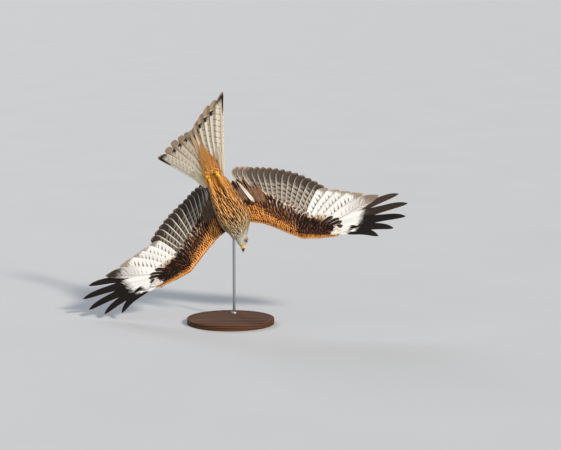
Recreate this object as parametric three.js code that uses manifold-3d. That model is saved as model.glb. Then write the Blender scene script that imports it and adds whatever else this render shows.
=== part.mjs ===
// Red kite (Milvus milvus), a life-size still model in a banking dive, held by a display stand.
// Units are millimetres, +Z is up and the viewer stands on the -Y side.
// The origin is the middle of the underside of the stand's base.
// The bird is laid out in its own frame: x toward the head, y toward its left, z toward its back,
// with the origin midway between the shoulders.

import * as THREE from 'three';
import { mergeVertices } from 'three/addons/utils/BufferGeometryUtils.js';
import Module from 'manifold-3d';

const wasm = await Module();
wasm.setup();

// Pose of the whole bird, in degrees and millimetres
const VIEW_TILT = 8;
const AXIS_LEAN = 25.3;
const BODY_PITCH = 0;
const BODY_ROLL = 9.5;
const SHOULDER_CENTRE = [22, 0, 428];

// Clearance between touching nodes, and the sides of the round sections
const GAP = 0.3;
const BODY_SIDES = 24;
const HEAD_SIDES = 20;
const RUMP_SIDES = 14;
const BILL_SIDES = 12;
// Edges shorter than this are closed up after joining
const MERGE = 0.02;

// Torso: distance along the body, half width, half depth, height of the middle
const TORSO = [
  [-182, 38, 28, 3], [-160, 45, 35, 0], [-128, 53, 43, -3], [-90, 60, 51, -5],
  [-50, 65, 55, -6], [-12, 66, 55, -5], [12, 62, 51, -3], [28, 55, 45, -1], [37, 50, 41, 0],
];

// Neck from the torso's front to the back of the head: along, left, up, half width, half depth
const NECK = [[37, 0, 0, 50, 41], [52, 4, 0, 43, 38], [68, 8, 0, 36, 34]];

// Head: its middle in the bird's frame, how it points, and its size
const HEAD_MIDDLE = [77, 9, 0];
const HEAD_PITCH = -13;
const HEAD_YAW = 9;
const HEAD_ROLL = 38;
const HEAD_LENGTH = 63;
const HEAD_WIDTH = 54;
const HEAD_DEPTH = 51;
const BILL_LENGTH = 27;
const EYE_RADIUS = 8.6;
const EYE_PLACE = [13, 17.6, 5];
const LID_RING = 6.1;
const LID_THICK = 1.2;
const LID_OUT = 6.4;
const BROW = [[24, 15.5, 10], [14, 20, 12.5], [2, 21.5, 12.5]];
const BROW_RADII = [1.6, 3, 1.6];
const MOUTH_GAP = 0.8;
const MOUTH_HEIGHT = -8.5;
const GAPE_LENGTH = 17;
const NOSTRIL_SIZE = [2.1, 1.6, 1.1];
const NOSTRIL_PLACE = [5.4, 7.6, -1.6];

// Wings: shoulder place, and how each wing is swept forward, twisted and raised. The hand bends, so
// its feathers reach a little less or more across the view: reach goes from the innermost primary to
// the outermost. The innermost feathers of each wing have their own turn back and length
const SHOULDER = [0, 42, 25];
const WINGS = {
  left: {
    side: 1, sweep: 0, twist: 20, rootRise: 6.4, tipRise: -1,
    reach: [0.93, 1.08], innerTurn: [106, 97], innerLength: [165, 135],
  },
  right: {
    side: -1, sweep: 18.6, twist: 9, rootRise: 8.2, tipRise: -3.4,
    reach: [0.975, 0.94], innerTurn: [113, 115], innerLength: [188, 167],
  },
};
const TWIST_REACH = 150;
const BEND_FROM = 130;
const BEND_TO = 330;
const WING_REACH = 900;

// Fleshy arm of the wing: outward distance, leading edge, trailing edge, thickness
const ARM = [
  [-20, 24, -88, 34], [22, 26, -88, 31], [70, 38, -74, 27], [118, 62, -38, 23],
  [170, 92, 18, 18], [222, 120, 64, 15], [290, 124, 86, 12], [345, 123, 96, 9], [372, 121, 106, 6],
];
const ARM_SIDES = 12;

// Flight feathers of a wing, innermost primary first: lengths, turn back from straight outward,
// and the line along the arm on which they root
const PRIMARY_LENGTH = [207, 222, 240, 266, 311, 376, 386, 352, 280, 200];
const PRIMARY_TURN = [56, 46.5, 39, 32, 24.5, 20, 13, 5.8, -1.4, -8.8];
const PRIMARY_ROOTS = [[92, 236], [112, 352]];
const FIRST_FINGER = 5;
const SECONDARY_COUNT = 12;
const SECONDARY_LENGTH = [208, 196];
const SECONDARY_TURN = [54.6, 113];
const SECONDARY_ROOTS = [[84, 214], [-18, 118]];
const TERTIAL_COUNT = 3;
const TERTIAL_ROOTS = [[-30, 100], [-55, 55]];
const VANE_LEAD = 12;
const VANE_TRAIL = 33;
const FINGER_LEAD = 12;
const FINGER_TRAIL = 27;
const FINGER_LIFT = 22;
const FINGER_BOW = -4;
const VANE_TILT = 0.1;
const VANE_THICK = 0.6;
// The tips together make the wing's hind edge, which leans this far, in degrees; the slant of a tip
// is limited
const EDGE_TURN = 15;
const MOST_SLANT = [-0.3, 1];

// Greater coverts over and under the roots of the flight feathers
const COVERT_SHARE = { under: 0.4, over: 0.47 };
const COVERT_LIMIT = 104;
const COVERT_HEIGHT = [4.8, 4];
const COVERT_LEAD = 11;
const COVERT_TRAIL = 22;
const COVERT_START = -8;

// Tail: root place in the bird's frame, how it points, its six pairs of feathers, and how far the
// edge that their tips make leans back on each side
const TAIL_ROOT = [-176, 4, 5];
const TAIL_RAISE = 24;
const TAIL_TWIST = 26;
const TAIL_YAW = -5;
const TAIL_LENGTH = [272, 284, 297, 314, 323, 343];
const TAIL_FAN = [2, 6.5, 12, 18.5, 25, 31];
const TAIL_SPREAD = 8.5;
const TAIL_LEAD = 12;
const TAIL_TRAIL = 31;
const TAIL_BOW = -7;
const FORK_TURN = 6;
const TAIL_COVERT_FAN = [-24, -12, 0, 12, 24];
const TAIL_COVERT_START = 14;
const TAIL_COVERT_HALF = 16;
const TAIL_COVERTS = [
  { length: 150, height: -17, rise: 13 },
  { length: 100, height: -23, rise: 12 },
  { length: 118, height: 15, rise: -11 },
];

// Stand: a round base, a bent rod and a collar on the bird's back
const BASE_RADIUS = 180;
const BASE_THICK = 22;
const BASE_BEVEL = 3;
const BASE_SIDES = 36;
const ROD_RADIUS = 6;
const ROD_SIDES = 12;
const ROD_BEND = 70;
const ROD_FOOT = [12, 110];
const ROD_ENTRY = [-62, 0];
const COLLAR_RADIUS = 15;
const COLLAR_THICK = 16;
const COLLAR_SINK = 12;
const COLLAR_SIDES = 20;
const ROD_SINK = 4;

const rad = THREE.MathUtils.degToRad;
const lerp = THREE.MathUtils.lerp;
const vec = (x, y, z) => new THREE.Vector3(x, y, z);

// A closed mesh from points and triangles, turned so that its faces point out
function solid(points, faces) {
  let volume = 0;
  for (const [a, b, c] of faces) {
    volume += points[a].dot(vec().crossVectors(points[b], points[c]));
  }
  const turned = volume < 0 ? faces.map(([a, b, c]) => [a, c, b]) : faces;
  return new wasm.Manifold(new wasm.Mesh({
    numProp: 3,
    vertProperties: new Float32Array(points.flatMap((p) => [p.x, p.y, p.z])),
    triVerts: new Uint32Array(turned.flat()),
  }));
}

// A three.js geometry as a solid
function solidOf(geometry) {
  const bare = geometry.clone();
  bare.deleteAttribute('normal');
  bare.deleteAttribute('uv');
  const merged = mergeVertices(bare, 1e-4);
  const place = merged.getAttribute('position');
  const points = [];
  for (let i = 0; i < place.count; i += 1) points.push(vec().fromBufferAttribute(place, i));
  const index = merged.index.array;
  const faces = [];
  for (let i = 0; i < index.length; i += 3) {
    const [a, b, c] = [index[i], index[i + 1], index[i + 2]];
    if (a !== b && b !== c && a !== c) faces.push([a, b, c]);
  }
  return solid(points, faces);
}

// The largest closed surface of a solid, as its points and triangles: sealed hollows are filled
function outerSurface({ vertProperties, triVerts }) {
  const parent = Int32Array.from({ length: vertProperties.length / 3 }, (_, i) => i);
  const find = (i) => {
    let at = i;
    while (parent[at] !== at) {
      parent[at] = parent[parent[at]];
      at = parent[at];
    }
    return at;
  };
  for (let i = 0; i < triVerts.length; i += 3) {
    parent[find(triVerts[i + 1])] = find(triVerts[i]);
    parent[find(triVerts[i + 2])] = find(triVerts[i]);
  }
  const corner = (i) => vec().fromArray(vertProperties, 3 * triVerts[i]);
  const volumes = new Map();
  for (let i = 0; i < triVerts.length; i += 3) {
    const shell = find(triVerts[i]);
    const part = corner(i).dot(vec().crossVectors(corner(i + 1), corner(i + 2)));
    volumes.set(shell, (volumes.get(shell) ?? 0) + part);
  }
  const [kept] = [...volumes].reduce((best, entry) => (entry[1] > best[1] ? entry : best));
  const points = [];
  const renamed = new Map();
  const faces = [];
  triVerts.forEach((vertex) => {
    if (find(vertex) !== kept) return;
    if (!renamed.has(vertex)) {
      renamed.set(vertex, renamed.size);
      points.push(...vertProperties.slice(3 * vertex, 3 * vertex + 3));
    }
    faces.push(renamed.get(vertex));
  });
  return { points: new Float32Array(points), faces: new Uint32Array(faces) };
}

function joined(pieces) {
  return wasm.Manifold.union(pieces);
}

// Skin over a row of rings with the same number of points, with flat ends
function loft(rings) {
  const sides = rings[0].length;
  const points = rings.flat();
  const faces = [];
  for (let i = 0; i + 1 < rings.length; i += 1) {
    for (let k = 0; k < sides; k += 1) {
      const a = i * sides + k;
      const b = i * sides + ((k + 1) % sides);
      faces.push([a, b, b + sides], [a, b + sides, a + sides]);
    }
  }
  for (const [row, flip] of [[0, false], [rings.length - 1, true]]) {
    const middle = rings[row].reduce((sum, p) => sum.add(p), vec(0, 0, 0)).divideScalar(sides);
    points.push(middle);
    for (let k = 0; k < sides; k += 1) {
      const a = row * sides + k;
      const b = row * sides + ((k + 1) % sides);
      faces.push(flip ? [points.length - 1, a, b] : [points.length - 1, b, a]);
    }
  }
  return solid(points, faces);
}

// A ring of points round a middle, spanned by two half axes
function ring(middle, across, up, sides) {
  return Array.from({ length: sides }, (_, k) => {
    const turn = (2 * Math.PI * k) / sides;
    return middle.clone().addScaledVector(across, Math.cos(turn)).addScaledVector(up, Math.sin(turn));
  });
}

// A round bar along a list of points, each with its own radius
function taperedBar(path, radii, sides) {
  const rings = path.map((point, i) => {
    const from = path[Math.max(i - 1, 0)];
    const to = path[Math.min(i + 1, path.length - 1)];
    const along = vec().subVectors(to, from).normalize();
    const guide = Math.abs(along.y) < 0.9 ? vec(0, 1, 0) : vec(1, 0, 0);
    const across = vec().crossVectors(along, guide).normalize();
    const up = vec().crossVectors(along, across);
    return ring(point, across.multiplyScalar(radii[i]), up.multiplyScalar(radii[i]), sides);
  });
  return loft(rings);
}

// Outlines of a feather: share of the length, share of the full width
const ROUND_TIP = [[0, 0.5], [0.5, 0.97], [0.84, 0.92], [0.96, 0.56], [1, 0.16]];
const FINGER_TIP = [[0, 0.5], [0.25, 0.96], [0.43, 1], [0.56, 0.74], [0.85, 0.56], [1, 0.08]];
const COVERT_TIP = [[0, 0.7], [0.76, 1], [1, 0.3]];

// One feather as a thin closed plate; its edge toward the wing tip is tilted up, over its neighbour,
// and slant cuts its tip along the edge of the whole wing or tail
function vane(place, shape) {
  const { length, lead, trail, outline, slant = 0, start = 0, bow = 0 } = shape;
  const { lift = 0, height = 0, rise = 0 } = shape;
  const corners = [[lead, 1], [-trail, 1], [lead, -1], [-trail, -1]];
  const points = outline.flatMap(([u, w]) => corners.map(([edge, face]) => {
    const across = edge * w;
    const up = height + rise * u + lift * u * u + VANE_TILT * across + (face * VANE_THICK) / 2;
    const along = start + u * (length - start) + slant * across * u ** 4;
    return place(along, across + 4 * bow * (u - u * u), up);
  }));
  const faces = [[0, 2, 3], [0, 3, 1]];
  for (let a = 0; a + 4 < points.length; a += 4) {
    const [b, c, d] = [a + 1, a + 2, a + 3];
    faces.push([a, b, b + 4], [a, b + 4, a + 4], [c, d + 4, d], [c, c + 4, d + 4]);
    faces.push([a, a + 4, c + 4], [a, c + 4, c], [b, d, d + 4], [b, d + 4, b + 4]);
  }
  const end = points.length - 4;
  faces.push([end, end + 3, end + 2], [end, end + 1, end + 3]);
  return solid(points, faces);
}

// The bird's frame set in the room
const bird = new THREE.Matrix4();
{
  const [tilt, lean, pitch, roll] = [VIEW_TILT, AXIS_LEAN, BODY_PITCH, BODY_ROLL].map(rad);
  const right = vec(1, 0, 0);
  const up = vec(0, Math.sin(tilt), Math.cos(tilt));
  const near = vec(0, -Math.cos(tilt), Math.sin(tilt));
  const axis = right.clone().multiplyScalar(Math.sin(lean)).addScaledVector(up, -Math.cos(lean));
  const side = right.clone().multiplyScalar(Math.cos(lean)).addScaledVector(up, Math.sin(lean));
  const ahead = axis.clone().multiplyScalar(Math.cos(pitch)).addScaledVector(near, Math.sin(pitch));
  const facing = vec().crossVectors(side, ahead).multiplyScalar(-1);
  const rightWing = side.clone().multiplyScalar(Math.cos(roll)).addScaledVector(facing, Math.sin(roll));
  const belly = facing.clone().multiplyScalar(Math.cos(roll)).addScaledVector(side, -Math.sin(roll));
  bird.makeBasis(ahead, rightWing.negate(), belly.negate());
  bird.setPosition(...SHOULDER_CENTRE);
}
const inRoom = (point) => point.applyMatrix4(bird);

const group = new THREE.Group();

function addNode(name, body, colour, roughness, metalness = 0) {
  const { points, faces } = outerSurface(body.simplify(MERGE).getMesh());
  const geometry = new THREE.BufferGeometry();
  geometry.setAttribute('position', new THREE.BufferAttribute(points, 3));
  geometry.setIndex(new THREE.BufferAttribute(faces, 1));
  geometry.computeVertexNormals();
  const finish = new THREE.MeshStandardMaterial({ color: colour, roughness, metalness });
  const node = new THREE.Mesh(geometry, finish);
  node.name = name;
  group.add(node);
}

// Torso, with an outer copy that its neighbours are cut by
function torsoBody(extra) {
  const rings = TORSO.map(([x, wide, deep, middle], i) => {
    const last = TORSO.length - 1;
    const shift = i === 0 ? -extra : i === last ? extra : 0;
    return ring(vec(x + shift, 0, middle), vec(0, wide + extra, 0), vec(0, 0, deep + extra), BODY_SIDES);
  });
  return loft(rings.map((row) => row.map(inRoom)));
}

function neckBody() {
  const rings = NECK.map(([x, y, z, wide, deep], i) => {
    const shift = i === 0 ? GAP : 0;
    return ring(vec(x + shift, y, z), vec(0, wide, 0), vec(0, 0, deep), BODY_SIDES);
  });
  return loft(rings.map((row) => row.map(inRoom)));
}

// The head's own frame: x along the bill, y to its left, z to its crown
const head = new THREE.Matrix4()
  .makeRotationFromEuler(new THREE.Euler(rad(HEAD_ROLL), rad(-HEAD_PITCH), rad(HEAD_YAW), 'ZYX'));
head.setPosition(...HEAD_MIDDLE);
const inHead = (point) => inRoom(point.applyMatrix4(head));

// Outline of the head from the nape to the bill: along, half width, half depth, height
const HEAD_FORM = [
  [-0.5, 0.6, 0.62, 0], [-0.38, 0.84, 0.86, 0], [-0.2, 0.97, 0.98, 0], [0, 1, 1, 0.01],
  [0.18, 0.93, 0.9, 0.0], [0.33, 0.76, 0.72, -0.03], [0.45, 0.52, 0.53, -0.08], [0.53, 0.36, 0.42, -0.1],
];

const HEAD_FRONT = HEAD_FORM.at(-1)[0] * HEAD_LENGTH;

function headCore(extra) {
  const rings = HEAD_FORM.map(([x, wide, deep, lift]) => ring(
    vec(x * HEAD_LENGTH, 0, lift * HEAD_DEPTH),
    vec(0, (wide * HEAD_WIDTH) / 2 + extra, 0),
    vec(0, 0, (deep * HEAD_DEPTH) / 2 + extra),
    HEAD_SIDES,
  ));
  return loft(rings.map((row) => row.map(inHead)));
}

function eyeBall(side, extra) {
  const ball = new THREE.SphereGeometry(EYE_RADIUS + extra, 12, 8);
  const [x, y, z] = EYE_PLACE;
  ball.translate(x, y * side, z);
  ball.applyMatrix4(head);
  ball.applyMatrix4(bird);
  return solidOf(ball);
}

// Lids round the eye and a brow above it
function eyeTrim(side) {
  const [x, y, z] = EYE_PLACE;
  const lids = new THREE.TorusGeometry(LID_RING, LID_THICK, 5, 10);
  lids.rotateX(Math.PI / 2);
  lids.translate(x, side * (y + LID_OUT), z);
  lids.applyMatrix4(head);
  lids.applyMatrix4(bird);
  const brow = BROW.map((place) => inHead(vec(place[0], side * place[1], place[2])));
  return [solidOf(lids), taperedBar(brow, BROW_RADII, 8)];
}

// Slit of the closed mouth, through the front of the head
function mouthSlit() {
  const slit = new THREE.BoxGeometry(GAPE_LENGTH, HEAD_WIDTH, MOUTH_GAP);
  slit.translate(HEAD_FRONT - GAPE_LENGTH / 2 + 1, 0, MOUTH_HEIGHT);
  slit.applyMatrix4(head);
  slit.applyMatrix4(bird);
  return solidOf(slit);
}

function headBody() {
  const eyes = joined([eyeBall(1, GAP), eyeBall(-1, GAP), mouthSlit()]);
  return joined([headCore(0), ...eyeTrim(1), ...eyeTrim(-1)]).subtract(eyes);
}

// Bill rows: share of its length, half width, top and bottom in the head's frame
const CERE = [[0.01, 8.2, 4, -8.2], [0.18, 7.7, 3.4, -8.3], [0.34, 6.9, 2.4, -8.4]];
const UPPER_BILL = [
  [0.352, 6.7, 2, -8.4], [0.6, 5.4, -0.8, -8.8], [0.8, 3.7, -5, -10.4],
  [0.92, 2.3, -9.2, -13.6], [1, 0.7, -14.2, -16.6],
];
const LOWER_BILL = [
  [0.01, 6.8, -8.8, -13.8], [0.35, 5.6, -9, -13.4], [0.6, 4, -9.4, -12.6], [0.75, 2.2, -10.2, -11.9],
];

function billPart(rows) {
  return loft(rows.map(([share, wide, top, bottom]) => ring(
    vec(HEAD_FRONT + share * BILL_LENGTH, 0, (top + bottom) / 2),
    vec(0, wide, 0),
    vec(0, 0, (top - bottom) / 2),
    BILL_SIDES,
  ).map(inHead)));
}

function nostril(side) {
  const hole = new THREE.SphereGeometry(1, 8, 6);
  hole.scale(...NOSTRIL_SIZE);
  hole.translate(HEAD_FRONT + NOSTRIL_PLACE[0], side * NOSTRIL_PLACE[1], NOSTRIL_PLACE[2]);
  hole.applyMatrix4(head);
  hole.applyMatrix4(bird);
  return solidOf(hole);
}

// Maps a wing laid flat (forward, outward, up) to its posed shape in the room
function wingPose({ side, sweep, twist, rootRise, tipRise }) {
  const step = 5;
  const table = [[0, 0]];
  const rise = (q) => {
    const t = THREE.MathUtils.smoothstep(q, BEND_FROM, BEND_TO);
    return rad(lerp(rootRise, tipRise, t));
  };
  for (let q = 0; q < WING_REACH; q += step) {
    const [y, z] = table.at(-1);
    const angle = rise(q + step / 2);
    table.push([y + step * Math.cos(angle), z + step * Math.sin(angle)]);
  }
  return (p, q, h) => {
    const forward = p * Math.cos(rad(sweep)) + q * Math.sin(rad(sweep));
    const outward = q * Math.cos(rad(sweep)) - p * Math.sin(rad(sweep));
    const cell = Math.min(Math.max(outward, 0) / step, table.length - 2);
    const [a, b] = [table[Math.floor(cell)], table[Math.floor(cell) + 1]];
    const part = cell - Math.floor(cell);
    const out = outward < 0 ? outward : lerp(a[0], b[0], part);
    const up = lerp(a[1], b[1], part);
    const lean = rise(outward);
    const turn = rad(twist) * THREE.MathUtils.clamp(outward / TWIST_REACH, 0, 1);
    const x = forward * Math.cos(turn) + h * Math.sin(turn);
    const raised = h * Math.cos(turn) - forward * Math.sin(turn);
    const y = out - raised * Math.sin(lean);
    const z = up + raised * Math.cos(lean);
    return inRoom(vec(SHOULDER[0] + x, side * (SHOULDER[1] + y), SHOULDER[2] + z));
  };
}

// The fleshy arm, thick at the shoulder and thin at the finger bones
function armCore(pose) {
  const rings = ARM.map(([q, lead, trail, thick]) => {
    const row = [];
    for (let k = 0; k < ARM_SIDES; k += 1) {
      const turn = (2 * Math.PI * k) / ARM_SIDES;
      const p = lerp(trail, lead, (1 + Math.cos(turn)) / 2);
      row.push(pose(p, q, (thick / 2) * Math.sin(turn) * (0.75 + 0.25 * Math.cos(turn))));
    }
    return row;
  });
  return loft(rings);
}

// Roots, turns and lengths of all flight feathers, from the outermost primary to the innermost tertial
function flightRows({ reach, innerTurn, innerLength }) {
  const along = ([from, to], t) => [lerp(from[0], to[0], t), lerp(from[1], to[1], t)];
  const rows = PRIMARY_LENGTH.map((length, i) => ({
    length: length * lerp(...reach, i / 9),
    turn: PRIMARY_TURN[i],
    root: along(PRIMARY_ROOTS, i / 9),
    finger: i >= FIRST_FINGER,
  })).reverse();
  for (let i = 0; i < SECONDARY_COUNT; i += 1) {
    const t = i / (SECONDARY_COUNT - 1);
    rows.push({
      length: lerp(...SECONDARY_LENGTH, t), turn: lerp(...SECONDARY_TURN, t), root: along(SECONDARY_ROOTS, t),
    });
  }
  for (let i = 0; i < TERTIAL_COUNT; i += 1) {
    const t = i / (TERTIAL_COUNT - 1);
    rows.push({
      length: lerp(...innerLength, t), turn: lerp(...innerTurn, t), root: along(TERTIAL_ROOTS, t),
    });
  }
  return rows;
}

// Places a feather by its root and turn on the flat wing
function onWing(pose, [p, q], turn) {
  const [sin, cos] = [Math.sin(rad(turn)), Math.cos(rad(turn))];
  return (along, across, up) => pose(p - along * sin + across * cos, q + along * cos + across * sin, up);
}

function flightFeather({ length, turn, finger }) {
  if (finger) {
    return {
      length, lead: FINGER_LEAD, trail: FINGER_TRAIL, outline: FINGER_TIP, lift: FINGER_LIFT, bow: FINGER_BOW,
    };
  }
  const slant = THREE.MathUtils.clamp(1 / Math.tan(rad(turn + EDGE_TURN)), ...MOST_SLANT);
  return { length, lead: VANE_LEAD, trail: VANE_TRAIL, outline: ROUND_TIP, slant };
}

function covert({ length }, face, t) {
  const share = face > 0 ? COVERT_SHARE.over : COVERT_SHARE.under;
  return {
    length: Math.min(length * share, COVERT_LIMIT),
    lead: COVERT_LEAD,
    trail: COVERT_TRAIL,
    outline: COVERT_TIP,
    start: COVERT_START,
    height: face * lerp(COVERT_HEIGHT[1], COVERT_HEIGHT[0], t),
  };
}

function wingBody(wing) {
  const pose = wingPose(wing);
  const rows = flightRows(wing);
  const pieces = [armCore(pose)];
  rows.forEach((row, i) => {
    const place = onWing(pose, row.root, row.turn);
    const t = Math.min(1, i / PRIMARY_LENGTH.length);
    pieces.push(vane(place, flightFeather(row)));
    pieces.push(vane(place, covert(row, 1, t)));
    if (i < PRIMARY_LENGTH.length + SECONDARY_COUNT) pieces.push(vane(place, covert(row, -1, t)));
  });
  return joined(pieces);
}

// The tail's own frame: x along the tail away from the body, y to the bird's left, z to its back
const tailFrame = new THREE.Matrix4()
  .makeRotationFromEuler(new THREE.Euler(rad(TAIL_TWIST), rad(TAIL_RAISE), rad(TAIL_YAW), 'ZYX'));
tailFrame.setPosition(...TAIL_ROOT);
const inTail = (along, left, up) => inRoom(vec(-along, left, up).applyMatrix4(tailFrame));

// Rump: the feathered cone that carries the tail: along, half width, half depth, height of the middle
const RUMP = [[-20, 34, 26, -3], [20, 36, 24, -4], [60, 32, 17, -3], [95, 24, 10, -2], [122, 15, 5, 0]];

function tailBody() {
  const rings = RUMP.map(([along, wide, deep, middle]) => {
    const row = [];
    for (let k = 0; k < RUMP_SIDES; k += 1) {
      const turn = (2 * Math.PI * k) / RUMP_SIDES;
      row.push(inTail(along, wide * Math.cos(turn), middle + deep * Math.sin(turn)));
    }
    return row;
  });
  const pieces = [loft(rings)];
  const onTail = (side, fan, from, aside) => (along, across, up) => {
    const out = aside + along * Math.sin(rad(fan)) + across * Math.cos(rad(fan));
    return inTail(from + along * Math.cos(rad(fan)) - across * Math.sin(rad(fan)), side * out, up);
  };
  for (const side of [1, -1]) {
    TAIL_LENGTH.forEach((length, i) => {
      const slant = Math.tan(rad(TAIL_FAN[i] + FORK_TURN));
      const shape = { length, lead: TAIL_LEAD, trail: TAIL_TRAIL, outline: ROUND_TIP, bow: TAIL_BOW, slant };
      pieces.push(vane(onTail(side, TAIL_FAN[i], 0, TAIL_SPREAD * (i + 0.5)), shape));
    });
  }
  for (const tier of TAIL_COVERTS) {
    for (const fan of TAIL_COVERT_FAN) {
      const shape = { ...tier, lead: TAIL_COVERT_HALF, trail: TAIL_COVERT_HALF, outline: COVERT_TIP };
      pieces.push(vane(onTail(1, fan, TAIL_COVERT_START, 0), shape));
    }
  }
  return joined(pieces);
}

// Leg: feathered shank lying back along the belly; foot: bare shank and toes drawn up in a loose fist
const LEG_PATH = [[-60, 30, -38], [-100, 30, -50], [-140, 27, -46], [-172, 23, -39]];
const LEG_RADII = [18, 16, 12, 7];
const LEG_SIDES = 12;
const SHANK_PATH = [[-166, 23.6, -40.2], [-186, 22, -35], [-200, 21, -31]];
const SHANK_RADII = [4.6, 4.4, 6.4];
const SHANK_SIDES = 8;

// Toes from the end of the shank: along, sideways, up
const TOES = {
  inner: [[0, 0, 0], [-10, -4, 2], [-19, -7, -1], [-23, -8, -7], [-20, -8, -12]],
  middle: [[0, 0, 0], [-12, 0, 3], [-23, 0, 0], [-28, 0, -7], [-25, 0, -13]],
  outer: [[0, 0, 0], [-10, 4, 2], [-18, 8, -1], [-22, 9, -7], [-19, 9, -12]],
  hind: [[0, 0, 0], [-1, -4, -7], [-5, -5, -12]],
};
const TOE_RADII = [4.4, 3.4, 3.2, 2.8, 2.3];
const TOE_SIDES = 6;
const CLAW_RADII = [2, 1.7, 1.1, 0.35];
const CLAW_SIDES = 6;
const CLAW_FORM = [[GAP, 0], [4, 0.4], [8, 2.6], [10.5, 6]];

function legBody(side, extra) {
  const path = LEG_PATH.map(([x, y, z]) => inRoom(vec(x, y * side, z)));
  return taperedBar(path, LEG_RADII.map((radius) => radius + extra), LEG_SIDES);
}

function toePath(side, toe) {
  const [x, y, z] = SHANK_PATH.at(-1);
  return toe.map(([dx, dy, dz]) => inRoom(vec(x + dx, (y + dy) * side, z + dz)));
}

function footBody(side) {
  const shank = SHANK_PATH.map(([x, y, z]) => inRoom(vec(x, y * side, z)));
  const toes = Object.values(TOES).map((toe) => (
    taperedBar(toePath(side, toe), TOE_RADII.slice(-toe.length), TOE_SIDES)
  ));
  return joined([taperedBar(shank, SHANK_RADII, SHANK_SIDES), ...toes]).subtract(legBody(side, GAP));
}

// A claw runs on from its toe's end and hooks toward the sole
function clawBody(side, toe) {
  const path = toePath(side, toe);
  const end = path.at(-1);
  const ahead = vec().subVectors(end, path.at(-2)).normalize();
  const sole = vec(1, 0, 0).transformDirection(bird);
  sole.addScaledVector(ahead, -sole.dot(ahead)).normalize();
  const points = CLAW_FORM.map(([out, hook]) => (
    end.clone().addScaledVector(ahead, out).addScaledVector(sole, hook)
  ));
  return taperedBar(points, CLAW_RADII, CLAW_SIDES);
}

// Stand
function standBase() {
  const profile = [
    [0, 0], [BASE_RADIUS - BASE_BEVEL, 0], [BASE_RADIUS, BASE_BEVEL],
    [BASE_RADIUS, BASE_THICK - BASE_BEVEL], [BASE_RADIUS - BASE_BEVEL, BASE_THICK], [0, BASE_THICK],
  ].map(([r, z]) => new THREE.Vector2(r, z));
  const disc = new THREE.LatheGeometry(profile, BASE_SIDES);
  disc.rotateX(Math.PI / 2);
  return solidOf(disc);
}

const entry = inRoom(vec(ROD_ENTRY[0], ROD_ENTRY[1], 51));
const entryAxis = vec(0, 0, 1).transformDirection(bird);

function rodBody() {
  const top = entry.clone().addScaledVector(entryAxis, COLLAR_THICK - ROD_SINK);
  const shoulder = entry.clone().addScaledVector(entryAxis, ROD_BEND);
  const foot = vec(ROD_FOOT[0], ROD_FOOT[1], BASE_THICK + GAP);
  const below = vec(ROD_FOOT[0], ROD_FOOT[1], entry.z - ROD_BEND);
  const corner = vec(ROD_FOOT[0], ROD_FOOT[1], shoulder.z);
  const points = [];
  for (let i = 0; i <= 2; i += 1) points.push(vec().lerpVectors(foot, below, i / 3));
  const bend = new THREE.CubicBezierCurve3(below, corner, shoulder, top);
  points.push(...bend.getPoints(8));
  return taperedBar(points, points.map(() => ROD_RADIUS), ROD_SIDES);
}

function collarBody() {
  const from = entry.clone().addScaledVector(entryAxis, -COLLAR_SINK);
  const to = entry.clone().addScaledVector(entryAxis, COLLAR_THICK - ROD_SINK - GAP);
  return taperedBar([from, to], [COLLAR_RADIUS, COLLAR_RADIUS - 2], COLLAR_SIDES);
}

const RUFOUS = 0xa8642f;
const HEAD_GREY = 0xb9b4ac;
const HORN = 0x2b2724;
const YELLOW = 0xe0b020;
const BROWN = 0x5b4636;
const TAIL_RED = 0xb9764a;
const NAPE = 0x9a7a58;
const IRIS = 0xc9b487;
const DARK_WOOD = 0x4a3524;
const STEEL = 0x8c8f92;

const torsoOuter = torsoBody(GAP);
addNode('torso', torsoBody(0), RUFOUS, 0.9);
addNode('neck', neckBody().subtract(headCore(GAP)), NAPE, 0.9);
addNode('head', headBody(), HEAD_GREY, 0.9);
addNode('cere', billPart(CERE).subtract(joined([nostril(1), nostril(-1)])), YELLOW, 0.5);
addNode('bill_upper', billPart(UPPER_BILL), HORN, 0.35);
addNode('bill_lower', billPart(LOWER_BILL), HORN, 0.4);
addNode('eye_left', eyeBall(1, 0), IRIS, 0.1);
addNode('eye_right', eyeBall(-1, 0), IRIS, 0.1);
for (const [name, wing] of Object.entries(WINGS)) {
  addNode(`wing_${name}`, wingBody(wing).subtract(torsoOuter), BROWN, 0.85);
}
addNode('tail', tailBody().subtract(torsoOuter), TAIL_RED, 0.85);
for (const [name, side] of [['left', 1], ['right', -1]]) {
  addNode(`leg_${name}`, legBody(side, 0).subtract(torsoOuter), RUFOUS, 0.9);
  addNode(`foot_${name}`, footBody(side), YELLOW, 0.6);
  for (const [toe, path] of Object.entries(TOES)) {
    addNode(`claw_${name}_${toe}`, clawBody(side, path), HORN, 0.35);
  }
}
addNode('stand_base', standBase(), DARK_WOOD, 0.4);
addNode('stand_rod', rodBody(), STEEL, 0.3, 1);
addNode('stand_collar', collarBody().subtract(torsoOuter), STEEL, 0.35, 1);

export default group;
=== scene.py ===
import math

import bmesh
import bpy
import numpy as np
from mathutils import Matrix, Vector
from mathutils.bvhtree import BVHTree
from mathutils.kdtree import KDTree


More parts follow.
